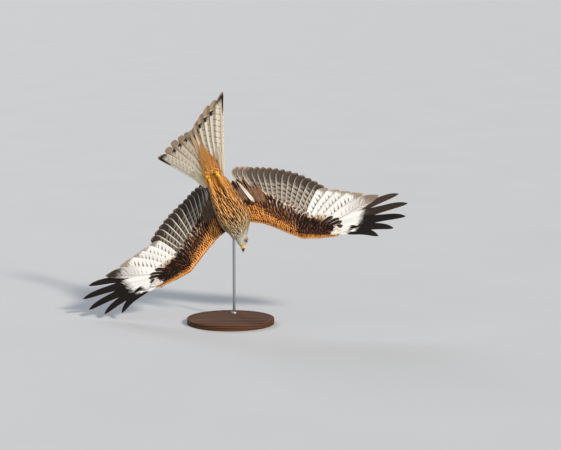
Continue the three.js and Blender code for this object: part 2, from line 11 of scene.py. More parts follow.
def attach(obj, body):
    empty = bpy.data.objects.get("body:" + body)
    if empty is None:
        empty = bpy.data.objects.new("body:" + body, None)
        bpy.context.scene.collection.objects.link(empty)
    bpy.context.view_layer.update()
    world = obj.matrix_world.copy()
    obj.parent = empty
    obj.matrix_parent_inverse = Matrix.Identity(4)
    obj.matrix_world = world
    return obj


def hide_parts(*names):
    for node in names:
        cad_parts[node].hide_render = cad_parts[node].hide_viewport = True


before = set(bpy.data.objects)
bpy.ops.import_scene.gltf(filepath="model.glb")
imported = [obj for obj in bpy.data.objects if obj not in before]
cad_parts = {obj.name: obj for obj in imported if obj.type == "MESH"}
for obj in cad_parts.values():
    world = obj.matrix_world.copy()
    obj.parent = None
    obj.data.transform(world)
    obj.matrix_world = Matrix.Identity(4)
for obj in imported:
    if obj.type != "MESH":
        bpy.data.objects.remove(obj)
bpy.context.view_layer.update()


# The room.
# A wide pale floor and an even pale surround, lit by one soft key light from the upper right,
# as the sun stands in the picture, and two weaker ones that open the shadows.
def linear(colour):
    values = [int(colour[i:i + 2], 16) / 255 for i in (1, 3, 5)]
    return [v / 12.92 if v <= 0.04045 else ((v + 0.055) / 1.055) ** 2.4 for v in values]


def paint(colour):
    return (*linear(colour), 1.0)


def new_material(name, finish):
    material = bpy.data.materials.new(name)
    material.use_nodes = True
    surface = material.node_tree.nodes["Principled BSDF"]
    for key, value in finish.items():
        surface.inputs[key].default_value = value
    return material, surface


def join(owner, source, target):
    """Links a socket, or the first output in use of a node, to an input."""
    if isinstance(source, bpy.types.Node):
        source = next(socket for socket in source.outputs if socket.enabled)
    owner.node_tree.links.new(source, target)


def add_node(owner, kind, inputs=None, **settings):
    made = owner.node_tree.nodes.new("ShaderNode" + kind)
    for key, value in settings.items():
        setattr(made, key, value)
    for key, value in (inputs or {}).items():
        if isinstance(value, (bpy.types.Node, bpy.types.NodeSocket)):
            join(owner, value, made.inputs[key])
        else:
            made.inputs[key].default_value = value
    return made


VIEW_TILT = math.radians(8)
CAMERA_DISTANCE = 8.0
PIXELS_ACROSS = 561
METRES_PER_PIXEL = 0.0041
LOOK_AT = Vector((0.2058, -0.0026, 0.4097))

bpy.ops.object.select_all(action="DESELECT")
bpy.ops.mesh.primitive_circle_add(vertices=96, radius=90, fill_type="NGON", location=(0, 0, 0))
floor = bpy.context.active_object
floor.name = "floor"
# Matt studio paint: pale, even, with only a faint unevenness from the roller
floor_paint, surface = new_material("matt_studio_paint", {"Roughness": 0.9})
place = add_node(floor_paint, "TexCoord").outputs["Object"]
patches = add_node(floor_paint, "TexNoise", {"Vector": place, "Scale": 1.5, "Detail": 2.0})
shade = add_node(floor_paint, "Mix", {
    "Factor": patches, "A": paint("#b9bdc2"), "B": paint("#c0c3c7")}, data_type="RGBA")
join(floor_paint, shade, surface.inputs["Base Color"])
floor.data.materials.append(floor_paint)

world = bpy.context.scene.world or bpy.data.worlds.new("surround")
bpy.context.scene.world = world
world.use_nodes = True
world.node_tree.nodes["Background"].inputs["Color"].default_value = paint("#e4e8ee")
world.node_tree.nodes["Background"].inputs["Strength"].default_value = 0.5


def add_sun(name, towards, strength, softness, colour):
    lamp = bpy.data.objects.new(name, bpy.data.lights.new(name, "SUN"))
    lamp.data.energy = strength
    lamp.data.angle = math.radians(softness)
    lamp.data.color = linear(colour)
    lamp.rotation_mode = "QUATERNION"
    lamp.rotation_quaternion = Vector(towards).to_track_quat("-Z", "Y")
    bpy.context.scene.collection.objects.link(lamp)


add_sun("key_light", (-0.55, 0.66, -0.5), 3.5, 7, "#fff4e4")
add_sun("back_light", (0.45, -0.75, -0.5), 1.3, 30, "#f4f6ff")
add_sun("low_light", (0.1, 0.9, 0.15), 0.3, 40, "#ffffff")

camera = bpy.data.objects.new("camera", bpy.data.cameras.new("camera"))
bpy.context.scene.collection.objects.link(camera)
bpy.context.scene.camera = camera
camera.data.sensor_width = 36
camera.data.lens = camera.data.sensor_width * CAMERA_DISTANCE / (PIXELS_ACROSS * METRES_PER_PIXEL)
toward_camera = Vector((0, -math.cos(VIEW_TILT), math.sin(VIEW_TILT)))
camera.location = LOOK_AT + toward_camera * CAMERA_DISTANCE
camera.rotation_mode = "QUATERNION"
camera.rotation_quaternion = (-toward_camera).to_track_quat("-Z", "Y")
camera.data.clip_end = 300
bpy.context.scene.view_settings.view_transform = "Standard"


# The skin.
# One closed surface under the plumage, from the head to the root of the tail and out to both
# hands. It is down and soft skin, shaped from smooth sections in millimetres and grown together.
def basis(axes, origin):
    matrix = np.identity(4)
    matrix[:3, :3] = np.array(axes, float).T
    matrix[:3, 3] = origin
    return matrix


def carried(matrix, points):
    points = np.asarray(points, float)
    return points @ matrix[:3, :3].T + matrix[:3, 3]


def within(matrix, points):
    return carried(np.linalg.inv(matrix), points)


def sin_cos(degrees):
    return math.sin(math.radians(degrees)), math.cos(math.radians(degrees))


def bird_frame():
    """The body's axes: ahead, to its left and to its back, as it dives and banks in the picture."""
    tilt, lean, roll = (math.radians(a) for a in (8, 25.3, 9.5))
    right = np.array([1, 0, 0])
    up = np.array([0, math.sin(tilt), math.cos(tilt)])
    ahead = right * math.sin(lean) - up * math.cos(lean)
    side = right * math.cos(lean) + up * math.sin(lean)
    facing = -np.cross(side, ahead)
    right_wing = side * math.cos(roll) + facing * math.sin(roll)
    belly = facing * math.cos(roll) - side * math.sin(roll)
    return basis([ahead, -right_wing, -belly], [22, 0, 428])


def turned(roll, pitch, yaw, origin):
    spin = Matrix.Rotation(math.radians(yaw), 3, "Z") @ Matrix.Rotation(math.radians(pitch), 3, "Y")
    spin = spin @ Matrix.Rotation(math.radians(roll), 3, "X")
    matrix = np.identity(4)
    matrix[:3, :3] = np.array(spin)
    matrix[:3, 3] = origin
    return matrix


BIRD = bird_frame()
HEAD = BIRD @ turned(38, 13, 9, [77, 9, 0])
TAIL = BIRD @ turned(26, 24, -5, [-176, 4, 5]) @ np.diag([-1.0, 1, 1, 1])


def smoothed(rows, count):
    rows = np.array(rows, float)
    at = np.linspace(0, len(rows) - 1, count)
    cell = np.minimum(at.astype(int), len(rows) - 2)
    f = (at - cell)[:, None]
    wide = np.vstack([2 * rows[0] - rows[1], rows, 2 * rows[-1] - rows[-2]])
    a, b, c, d = (wide[cell + i] for i in range(4))
    return b + 0.5 * f * (c - a + f * (2 * a - 5 * b + 4 * c - d + f * (3 * (b - c) + d - a)))


def mixed(a, b, t):
    return a + (b - a) * t


def step(value, low, high):
    t = np.clip((np.asarray(value, float) - low) / (high - low), 0, 1)
    return t * t * (3 - 2 * t)


def section(centres, halves, sides):
    turn = np.linspace(0, 2 * math.pi, sides, endpoint=False)
    zero = np.zeros((len(centres), sides))
    y = halves[:, :1] * np.cos(turn)
    z = halves[:, 1:] * np.sin(turn)
    return centres[:, None, :] + np.stack([zero, y, z], -1)


def swept(path, radii, sides):
    path = np.asarray(path, float)
    along = np.gradient(path, axis=0)
    along /= np.linalg.norm(along, axis=1)[:, None]
    guide = np.where(np.abs(along[:, 1:2]) < 0.9, [[0.0, 1, 0]], [[1.0, 0, 0]])
    across = np.cross(along, guide)
    across /= np.linalg.norm(across, axis=1)[:, None]
    up = np.cross(along, across)
    turn = np.linspace(0, 2 * math.pi, sides, endpoint=False)[None, :, None]
    spread = across[:, None, :] * np.cos(turn) + up[:, None, :] * np.sin(turn)
    return path[:, None, :] + spread * np.asarray(radii, float)[:, None, None]


def tube_faces(rows, sides):
    i, k = np.meshgrid(np.arange(rows - 1), np.arange(sides), indexing="ij")
    a = i * sides + k
    b = i * sides + (k + 1) % sides
    faces = np.stack([a, b, b + sides, a + sides], -1).reshape(-1, 4).tolist()
    faces.append(list(range(sides - 1, -1, -1)))
    faces.append(list(range((rows - 1) * sides, rows * sides)))
    return faces


def new_object(name, mesh, material=None):
    made = bpy.data.objects.new(name, mesh)
    bpy.context.scene.collection.objects.link(made)
    if material:
        mesh.materials.append(material)
    return made


def facing_out(mesh):
    work = bmesh.new()
    work.from_mesh(mesh)
    bmesh.ops.recalc_face_normals(work, faces=work.faces)
    work.to_mesh(mesh)
    work.free()


def tube(name, rings, material=None):
    rows, sides = rings.shape[:2]
    mesh = bpy.data.meshes.new(name)
    mesh.from_pydata((rings.reshape(-1, 3) * 0.001).tolist(), [], tube_faces(rows, sides))
    facing_out(mesh)
    mesh.shade_smooth()
    return new_object(name, mesh, material)


def active(thing, *others):
    bpy.ops.object.select_all(action="DESELECT")
    for other in (thing, *others):
        other.select_set(True)
    bpy.context.view_layer.objects.active = thing


def apply_modifier(thing, kind, **settings):
    active(thing)
    modifier = thing.modifiers.new(kind.lower(), kind)
    for key, value in settings.items():
        setattr(modifier, key, value)
    bpy.ops.object.modifier_apply(modifier=modifier.name)


# millimetres that the feathers add to the skin
COAT = 2.6
TORSO = smoothed([
    [-182, 0, 38, 28, 3], [-160, 0, 45, 35, 0], [-128, 0, 53, 43, -3], [-90, 0, 60, 51, -5],
    [-50, 0, 65, 55, -6], [-12, 0, 66, 55, -5], [12, 0, 62, 51, -3], [28, 1, 53.5, 45, -1],
    [37, 2, 48, 41, 0], [52, 6.5, 41, 38, 0], [68, 10.5, 35, 34, 0]], 60)
HEAD_FORM = smoothed([
    [-31.5, 16.2, 15.8, 0], [-24, 22.7, 21.9, 0], [-12.6, 26.2, 25, 0], [0, 27, 25.5, 0.5],
    [11.3, 25.1, 23, 0], [20.8, 20.5, 18.4, -1.5], [28.4, 14, 13.5, -4.1], [33.4, 9.7, 10.7, -5.1]], 40)
LEG_PATH = smoothed([[-60, 30, -38, 18], [-100, 30, -50, 16], [-140, 27, -46, 12], [-172, 23, -39, 7]], 24)
RUMP = smoothed([
    [-20, 34, 26, -3], [20, 36, 24, -4], [60, 32, 17, -3], [95, 24, 10, -2], [122, 15, 5, 0]], 24)

# the arm under its feathers: how far out, its front, its back and its thickness there
SHOULDER_OUT = 42
SHOULDER_UP = 25
ARM = np.array([
    [-20, 24, -88, 34], [22, 26, -88, 31], [70, 38, -74, 27], [118, 62, -38, 23],
    [170, 92, 18, 18], [222, 120, 64, 15], [290, 124, 86, 12], [345, 123, 96, 9], [372, 121, 106, 6]], float)


def wing_place(side, sweep, twist, root_rise, tip_rise):
    """Where a wing's points lie: p is millimetres ahead, q outward along the wing and h above its plane."""
    gap = 5
    marks = np.arange(0.0, 905, gap)
    sin, cos = sin_cos(sweep)

    def rise(out):
        return np.radians(mixed(root_rise, tip_rise, step(out, 130, 330)))

    angles = rise(marks[:-1] + gap / 2)
    run = np.concatenate([[0], np.cumsum(gap * np.cos(angles))])
    climb = np.concatenate([[0], np.cumsum(gap * np.sin(angles))])

    def place(p, q, h):
        forward, outward = p * cos + q * sin, q * cos - p * sin
        out = np.where(outward < 0, outward, np.interp(outward, marks, run))
        up = np.interp(outward, marks, climb)
        lean = rise(outward)
        turn = math.radians(twist) * np.clip(outward / 150, 0, 1)
        x = forward * np.cos(turn) + h * np.sin(turn)
        raised = h * np.cos(turn) - forward * np.sin(turn)
        y = SHOULDER_OUT + out - raised * np.sin(lean)
        z = SHOULDER_UP + up + raised * np.cos(lean)
        return carried(BIRD, np.stack([x, side * y, z], -1))

    return place


# for each wing: its pose, how far the bent hand's feathers reach across the view from the innermost
# to the outermost, the turn and length of the innermost feathers, how full its leading edge is, how
# far the outermost feather bends, how much its feathers are darkened as painted shade, since the left
# wing lies in shadow (1 for none), and the colours in its armpit, darker on the left as painted shade
WINGS = {
    "left": {
        "place": wing_place(1, 0, 20, 6.4, -1), "side": 1, "reach": [0.93, 1.08],
        "inner_turn": [106, 97], "inner_length": [165, 135], "fullness": -2, "hook": -18, "shade": 0.34,
        "axillaries": ["#24170f", "#6b4023", "#2e2018"]},
    "right": {
        "place": wing_place(-1, 18.6, 9, 8.2, -3.4), "side": -1, "reach": [0.975, 0.94],
        "inner_turn": [113, 115], "inner_length": [188, 167], "fullness": 3, "hook": -11, "shade": 1.0,
        "axillaries": ["#4f3322", "#97602f", "#ece6dc"]},
}


def arm_rings(place, inset):
    rows = smoothed(ARM, 48)
    turn = np.linspace(0, 2 * math.pi, 20, endpoint=False)
    lead, trail, thick = rows[:, 1:2] - inset, rows[:, 2:3] + inset, rows[:, 3:4] - 2 * inset
    p = mixed(trail, lead, (1 + np.cos(turn)) / 2)
    h = np.maximum(thick, 2) / 2 * np.sin(turn) * (0.75 + 0.25 * np.cos(turn))
    return place(p, np.broadcast_to(rows[:, :1], p.shape), h)


parts = []
zones = []
ON_TORSO, ON_HEAD, ON_LEG, ON_RUMP, ON_WING = range(5)


def add_part(zone, rings):
    parts.append(tube(f"part_{len(parts)}", rings))
    zones.append((zone, rings.reshape(-1, 3)))


def middle_line(form):
    return np.column_stack([form[:, 0], 0 * form[:, 0], form[:, 3]])


body = TORSO - [0, 0, COAT, COAT, 0]
add_part(ON_TORSO, carried(BIRD, section(body[:, [0, 1, 4]], body[:, 2:4], 48)))
skull = HEAD_FORM - [0, 1.2, 1.2, 0]
add_part(ON_HEAD, carried(HEAD, section(middle_line(skull), skull[:, 1:3], 40)))
for side in (1, -1):
    path = carried(BIRD, (LEG_PATH[:, :3] + [0, 0, 4]) * [1, side, 1])
    add_part(ON_LEG, swept(path, LEG_PATH[:, 3] * 0.8 - COAT, 24))
    brow = carried(HEAD, smoothed([[24, 15.5, 9], [14, 20, 11.5], [2, 20.5, 11]], 12) * [1, side, 1])
    add_part(ON_HEAD, swept(brow, [1.2, 1.6, 2, 2.4, 2.6, 2.8, 2.8, 2.6, 2.4, 2.2, 2, 1.6], 12))
cone = RUMP - [0, COAT, COAT, 0]
add_part(ON_RUMP, carried(TAIL, section(middle_line(cone), np.maximum(cone[:, 1:3], 2), 32)))
for wing in WINGS.values():
    add_part(ON_WING, arm_rings(wing["place"], 2.2))

skin = parts[0]
active(skin, *parts[1:])
bpy.ops.object.join()
skin.name = skin.data.name = "skin"
apply_modifier(skin, "REMESH", mode="VOXEL", voxel_size=0.0026)
apply_modifier(skin, "SMOOTH", factor=0.5, iterations=14)
skin.data.shade_smooth()

nearest_part = KDTree(sum(len(points) for _, points in zones))
zone_of = []
for zone, points in zones:
    for point in points:
        nearest_part.insert(point * 0.001, len(zone_of))
        zone_of.append(zone)
nearest_part.balance()


# Plumage colours, by place on the bird.
# Each function gives the ground colour, the ink of the streak, how wide the streak is, and how
# pale the edge is. Skin and feathers read the same functions, so they carry the same markings.
def hexes(*colours):
    return [np.array(linear(c)) for c in colours]


def blend(low, high, t):
    return low + (high - low) * np.asarray(t)[..., None]


def body_colours(points):
    x, z = points[:, 0], points[:, 2]
    orange, rufous, throat, back, rump = hexes("#dc9440", "#d8943f", "#b09a72", "#7a4b2e", "#a0602f")
    dark, brown, soft = hexes("#120b07", "#2c1d14", "#a56426")
    below = step(-z, -8, 14)
    ground = blend(rufous, orange, step(x, -150, -100))
    ground = blend(ground, throat, step(x, -10, 40) * 0.8)
    over = blend(rump, back, step(x, -150, -80))
    over = blend(over, throat, step(x, 30, 62) * 0.85)
    ground = blend(over, ground, below)
    ink = blend(brown, blend(soft, dark, step(x, -155, -110)), below)
    width = mixed(0.5, mixed(0.12, 0.44, step(x, -165, -105)), below)
    edge = mixed(0.35, mixed(0.35, 1.0, step(x, -150, -60)), below)
    return ground, ink, width, edge


def head_colours(points):
    x, z = points[:, 0], points[:, 2]
    pale, crown = hexes("#d2cdc2", "#b5ad9f")
    ink, lore = hexes("#3c342c", "#1c1714")
    ground = blend(pale, crown, step(z, 8, 22))
    near_eye = step(-np.abs(x - 17) - np.abs(z - 5) * 0.9, -15, -8)
    ground = blend(ground, lore, near_eye * 0.85)
    ink = blend(ink, lore, near_eye)
    width = mixed(0.34, 0.2, step(x, -10, 20)) * np.ones(len(points))
    return ground, np.broadcast_to(ink, ground.shape), width, 0.25 + 0 * width


def leg_colours(points):
    ground, ink, width, edge = body_colours(points)
    return ground, ink, width * 0.8, edge * 0.7


def rump_colours(points):
    below = step(-points[:, 2], -3, 6)
    orange, over = hexes("#dc9642", "#b06a36")
    ink, = hexes("#8a5527")
    ground = blend(over, orange, below)
    return ground, np.broadcast_to(ink, ground.shape), np.full(len(points), 0.08), np.full(len(points), 0.2)


def plumage(zone, points):
    ground = np.zeros((len(points), 3))
    ink = np.zeros((len(points), 3))
    width = np.zeros(len(points))
    edge = np.zeros(len(points))
    frames = {
        ON_TORSO: (BIRD, body_colours), ON_HEAD: (HEAD, head_colours), ON_LEG: (BIRD, leg_colours),
        ON_RUMP: (TAIL, rump_colours)}
    for number, (matrix, colours) in frames.items():
        pick = zone == number
        if pick.any():
            local = within(matrix, points[pick])
            ground[pick], ink[pick], width[pick], edge[pick] = colours(local)
    ground[zone == ON_WING], ink[zone == ON_WING] = hexes("#6b4630", "#2c1d14")
    # the pale head runs into the neck over a few centimetres
    local = within(BIRD, points)
    fade = step(local[:, 0], 40, 66) * (zone == ON_TORSO)
    grey, = hexes("#c3b9a6")
    ground = blend(ground, grey, fade * 0.85)
    return ground, ink, width, edge


def store_colour(mesh, name, values, alpha=None):
    values = np.column_stack([values, np.ones(len(values)) if alpha is None else alpha])
    layer = mesh.color_attributes.new(name, "FLOAT_COLOR", "POINT")
    layer.data.foreach_set("color", values.astype(np.float32).ravel())


def mesh_points(mesh):
    points = np.empty(len(mesh.vertices) * 3, np.float32)
    mesh.vertices.foreach_get("co", points)
    return points.reshape(-1, 3).astype(float)


def zone_at(points):
    return np.array([zone_of[nearest_part.find(p * 0.001)[1]] for p in points])


skin_points = mesh_points(skin.data) * 1000
store_colour(skin.data, "ground", plumage(zone_at(skin_points), skin_points)[0])

# Down over skin: matt, with the fluff of the down as an uneven relief, 2.4 mm across
down, surface = new_material("down_over_skin", {"Roughness": 0.95})
ground = add_node(down, "Attribute", attribute_name="ground")
place = add_node(down, "TexCoord").outputs["Object"]
fluff = add_node(down, "TexNoise", {"Vector": place, "Scale": 420.0, "Detail": 4.0})
darker = add_node(down, "Mix", {"Factor": fluff, "A": ground, "B": paint("#3a2a1e")}, data_type="RGBA")
join(down, darker, surface.inputs["Base Color"])
relief = add_node(down, "Bump", {"Height": fluff, "Strength": 0.6, "Distance": 0.0008})
join(down, relief, surface.inputs["Normal"])
skin.data.materials.clear()
skin.data.materials.append(down)
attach(skin, "root")
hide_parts("torso", "neck", "head", "leg_left", "leg_right")


# The body feathers.
# Small contour feathers of keratin, rooted in the skin in overlapping order. Each is a thin
# pointed vane with its own place, length, streak and pale edge, and lies back toward the tail.
def vane_faces(rows, cols):
    i, k = np.meshgrid(np.arange(rows - 1), np.arange(cols - 1), indexing="ij")
    a = (i * cols + k).ravel()
    top = np.stack([a, a + 1, a + cols + 1, a + cols], -1)
    under = rows * cols
    bottom = top[:, ::-1] + under
    r = np.arange(rows - 1) * cols
    left = np.stack([r, r + cols, r + cols + under, r + under], -1)
    s = r + cols - 1
    right = np.stack([s, s + under, s + cols + under, s + cols], -1)
    c = np.arange(cols - 1)
    root = np.stack([c, c + under, c + 1 + under, c + 1], -1)
    t = (rows - 1) * cols + c
    tip = np.stack([t, t + 1, t + 1 + under, t + under], -1)
    return np.concatenate([top, bottom, left, right, root, tip])


def vane_mesh(name, top, bottom, look, bake, material):
    """Joins a batch of vanes, each a grid of rows and columns on two faces, into one closed mesh."""
    count, rows, cols = top.shape[:3]
    points = np.stack([top, bottom], 1).reshape(-1, 3)
    single = vane_faces(rows, cols)
    own = np.stack([top, bottom], 1).reshape(count, -1, 3)
    own = own - own.mean(1, keepdims=True)
    a, b, c, d = (own[:, single[:, i]] for i in range(4))
    volume = (a * (np.cross(b, c) + np.cross(c, d))).sum((1, 2))
    turned_round = np.where(volume[:, None, None] < 0, single[:, ::-1], single)
    faces = (turned_round + (np.arange(count) * rows * cols * 2)[:, None, None]).reshape(-1, 4)
    mesh = bpy.data.meshes.new(name)
    mesh.vertices.add(len(points))
    mesh.vertices.foreach_set("co", (points * 0.001).astype(np.float32).ravel())
    mesh.loops.add(faces.size)
    mesh.loops.foreach_set("vertex_index", faces.astype(np.int32).ravel())
    mesh.polygons.add(len(faces))
    mesh.polygons.foreach_set("loop_start", (np.arange(len(faces)) * 4).astype(np.int32))
    mesh.update(calc_edges=True)
    mesh.validate()
    mesh.shade_smooth()
    shape = (count, 2, rows, cols)

    def spread(values, channels=()):
        values = np.asarray(values, float)
        if values.ndim == 3 + len(channels):
            values = values[:, None]
        return np.broadcast_to(values, (*shape, *channels)).reshape(-1, *channels)

    for attribute in ("ground", "ink"):
        store_colour(mesh, attribute, spread(look[attribute], (3,)))
    marks = np.column_stack([spread(look[key]) for key in ("width", "aside", "edge", "share")])
    store_colour(mesh, "mark", marks[:, :3], marks[:, 3])
    if "tip" in look:
        store_colour(mesh, "tip", spread(look["tip"], (3,)), spread(look["past"]))
    loops = faces.ravel()
    for layer, values in (("OFBake", bake), ("Vane", look["vane"])):
        values = spread(values, (2,))[loops]
        mesh.uv_layers.new(name=layer).data.foreach_set("uv", values.astype(np.float32).ravel())
    mesh.uv_layers.active = mesh.uv_layers["OFBake"]
    made = new_object(name, mesh, material)
    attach(made, "root")
    return made


# Keratin of a body feather: matt, softly sheened by its barbs, 0.24 mm apart on the vane's map in
# centimetres. The streak runs down the shaft, with an uneven border, and the edge is pale
contour, surface = new_material("contour_feather_keratin", {
    "Roughness": 0.75, "Specular IOR Level": 0.2, "Sheen Weight": 0.04})
ground = add_node(contour, "Attribute", attribute_name="ground")
ink = add_node(contour, "Attribute", attribute_name="ink")
mark = add_node(contour, "Attribute", attribute_name="mark")
marks = add_node(contour, "SeparateColor", {"Color": mark})
vane_map = add_node(contour, "UVMap", uv_map="Vane")
barbs = add_node(contour, "TexWave", {
    "Vector": vane_map, "Scale": 26.0, "Distortion": 1.5, "Detail": 2.0, "Detail Scale": 3.0},
    bands_direction="DIAGONAL")
rough_edge = add_node(contour, "TexNoise", {"Vector": vane_map, "Scale": 12.0, "Detail": 3.0})
wobble = add_node(contour, "Math", {0: rough_edge, 1: 0.3, 2: -0.15}, operation="MULTIPLY_ADD")
aside = add_node(contour, "Math", {0: marks.outputs["Green"], 1: wobble}, operation="ADD")
past = add_node(contour, "Math", {0: aside, 1: marks.outputs["Red"]}, operation="SUBTRACT")
streak = add_node(contour, "MapRange", {
    "Value": past, "From Min": -0.05, "From Max": 0.07, "To Min": 1.0, "To Max": 0.0})
from_root = add_node(contour, "MapRange", {
    "Value": mark.outputs["Alpha"], "From Min": 0.2, "From Max": 0.42})
streak = add_node(contour, "Math", {0: streak, 1: from_root}, operation="MULTIPLY")
rim = add_node(contour, "MapRange", {"Value": aside, "From Min": 0.72, "From Max": 1.0})
rim = add_node(contour, "Math", {0: rim, 1: marks.outputs["Blue"]}, operation="MULTIPLY")
vane = add_node(contour, "Mix", {"Factor": rim, "A": ground, "B": paint("#f0d8ac")}, data_type="RGBA")
vane = add_node(contour, "Mix", {"Factor": streak, "A": vane, "B": ink}, data_type="RGBA")
tone = add_node(contour, "MapRange", {"Value": barbs.outputs["Fac"], "To Min": 0.84, "To Max": 1.06})
vane = add_node(contour, "VectorMath", {0: vane, "Scale": tone}, operation="SCALE")
join(contour, vane, surface.inputs["Base Color"])
relief = add_node(contour, "Bump", {"Height": barbs.outputs["Fac"], "Strength": 0.35, "Distance": 0.0003})
join(contour, relief, surface.inputs["Normal"])


def skin_samples(mesh, count, rng):
    mesh.calc_loop_triangles()
    corner = np.empty(len(mesh.loop_triangles) * 3, np.int32)
    mesh.loop_triangles.foreach_get("vertices", corner)
    corner = corner.reshape(-1, 3)
    points = mesh_points(mesh) * 1000
    a, b, c = (points[corner[:, i]] for i in range(3))
    area = np.linalg.norm(np.cross(b - a, c - a), axis=1)
    pick = rng.choice(len(area), count, p=area / area.sum())
    s, t = rng.random((2, count, 1))
    flip = s + t > 1
    s, t = np.where(flip, 1 - s, s), np.where(flip, 1 - t, t)
    return a[pick] + (b[pick] - a[pick]) * s + (c[pick] - a[pick]) * t


def spaced(points, spacing):
    """Keeps the points, in their order, that are no closer than their spacing to one kept before."""
    cell = 12.0
    kept, grid = [], {}
    for index, (point, gap) in enumerate(zip(points, spacing)):
        home = tuple((point // cell).astype(int))
        near = []
        for dx in (-1, 0, 1):
            for dy in (-1, 0, 1):
                for dz in (-1, 0, 1):
                    near += grid.get((home[0] + dx, home[1] + dy, home[2] + dz), [])
        if near and (((points[near] - point) ** 2).sum(1) < gap * gap).any():
            continue
        kept.append(index)
        grid.setdefault(home, []).append(index)
    return kept


EYE_PLACE = np.array([13, 17.6, 5])
rng = np.random.default_rng(7)
skin_tree = BVHTree.FromPolygons(
    [v.co for v in skin.data.vertices], [p.vertices for p in skin.data.polygons])
found = skin_samples(skin.data, 90000, rng)
zone = zone_at(found)
found, zone = found[zone != ON_WING], zone[zone != ON_WING]
in_bird = within(BIRD, found)
in_head = within(HEAD, found)
in_tail = within(TAIL, found)
over = step(in_bird[:, 2], -8, 14)
# spacing, length and width in millimetres for torso, head, leg and rump
neckward = step(in_bird[:, 0], 10, 62)[:, None]
size = mixed(np.array([7.4, 44, 13.5]), np.array([8.6, 42, 19]), over[:, None])
size = mixed(size, np.array([4.4, 26, 7]), neckward)
face = step(in_head[:, 0], -12, 16)[:, None]
on_face = mixed(np.array([3.2, 18, 6.2]), np.array([2.2, 8.5, 3.9]), face)
size = np.where((zone == ON_HEAD)[:, None], on_face, size)
size = np.where((zone == ON_LEG)[:, None], [6.6, 34, 11], size)
size = np.where((zone == ON_RUMP)[:, None], [8, 44, 15], size)
beside_eye = np.minimum(*(np.linalg.norm(in_head - EYE_PLACE * [1, side, 1], axis=1) for side in (1, -1)))
size = np.where(((zone == ON_HEAD) & (beside_eye < 14))[:, None], [1.9, 6.5, 3.2], size)
bare = (zone == ON_HEAD) & ((in_head[:, 0] > 32) | (beside_eye < 8.8))
bare |= (zone == ON_RUMP) & (in_tail[:, 0] > 112)
found, zone, size = found[~bare], zone[~bare], size[~bare]
# feathers stand closer across the body than along it
kept = spaced(within(BIRD, found) * [0.55, 1, 1], size[:, 0])
roots, zone, size = found[kept], zone[kept], size[kept]

flow = {ON_TORSO: -BIRD[:3, 0], ON_HEAD: -HEAD[:3, 0], ON_LEG: -BIRD[:3, 0], ON_RUMP: TAIL[:3, 0]}
lie = np.array([flow[z] for z in zone])
count = len(roots)
# round each eye they part and point away from it
for side in (1, -1):
    away = roots - carried(HEAD, EYE_PLACE * [1, side, 1])
    gap = np.linalg.norm(away, axis=1)[:, None]
    lie += 1.5 * away / gap * (1 - step(gap, 8, 17)) * (zone == ON_HEAD)[:, None]
lie += rng.normal(0, 0.07, (count, 3))
sizes = size[:, 1:] * rng.uniform(0.86, 1.14, (count, 2))
POINTED = np.array([[0, 0.35], [0.2, 0.72], [0.45, 1], [0.7, 0.9], [0.9, 0.5], [1, 0.1]])
ACROSS = np.array([-1.0, 0, 1])
VANE_THICK = 0.28


def laid_on_skin(roots, lie, sizes, lift):
    """Rows of the shaft for each feather: laid along the skin and lifted a little toward the tip."""
    rows = POINTED[:, 0]
    centre = np.zeros((len(roots), len(rows), 3))
    normal = np.zeros_like(centre)
    for i, (root, way, (length, _)) in enumerate(zip(roots, lie, sizes)):
        _, n, _, _ = skin_tree.find_nearest(Vector(root * 0.001))
        n = np.array(n)
        way = way - n * (way @ n)
        way /= np.linalg.norm(way)
        for r, u in enumerate(rows):
            spot, m, _, _ = skin_tree.find_nearest(Vector((root + way * length * u) * 0.001))
            centre[i, r] = np.array(spot) * 1000
            normal[i, r] = m
    centre += normal * (lift[0] + (lift[1] - lift[0]) * rows[None, :, None])
    return centre, normal


def contour_batch(centre, normal, sizes):
    """Both faces of each small vane, arched over its shaft, and its map in centimetres."""
    along = np.gradient(centre, axis=1)
    across = np.cross(normal, along)
    across /= np.maximum(np.linalg.norm(across, axis=2), 1e-6)[..., None]
    half = (POINTED[None, :, 1] * sizes[:, 1:2] / 2)[..., None]
    grid = centre[:, :, None] + across[:, :, None] * (half * ACROSS)[..., None]
    arch = 0.16 * half * (1 - np.abs(ACROSS))
    grid = grid + normal[:, :, None] * arch[..., None]
    under = grid - normal[:, :, None] * VANE_THICK
    down_shaft = (POINTED[:, 0] * sizes[:, :1])[..., None]
    return grid, under, np.stack(np.broadcast_arrays(half * ACROSS, down_shaft), -1) * 0.1


def varied_look(colours, tone, streak, vane, rng):
    """The look of a batch of small feathers, each with a tone, a streak and an edge of its own."""
    ground, ink, width, edge = colours
    count = len(ground)
    tones = rng.normal(1, tone, (count, 1))
    own = {
        "ground": ground * tones, "ink": ink * tones, "width": width * rng.uniform(*streak, count),
        "edge": edge * rng.uniform(0.4, 1.3, count)}
    look = {key: values[:, None, None] for key, values in own.items()}
    return {**look, "vane": vane, "aside": np.abs(ACROSS)[None, None], "share": POINTED[None, :, :1]}


def bake_patch(root_place, vane, sizes):
    """A small patch for each feather at its root's place on the unwrap."""
    local = vane / 0.1 / sizes[:, None, None, ::-1] * 0.003
    return root_place[:, None, None] + local


def round_body(points):
    """Unwrap of the body: round the axis and along it."""
    local = within(BIRD, points)
    around = np.arctan2(local[:, 2], local[:, 1]) / (2 * math.pi) + 0.5
    return np.column_stack([0.02 + 0.95 * around, 0.02 + 0.95 * np.clip((local[:, 0] + 310) / 430, 0, 1)])


def add_contour(name, part, here, laid, size_here):
    grid, under, vane = contour_batch(*laid, size_here)
    look = varied_look(plumage(part, here), 0.09, (0.6, 1.35), vane, rng)
    made = vane_mesh(name, grid, under, look, bake_patch(round_body(here), vane, size_here), contour)


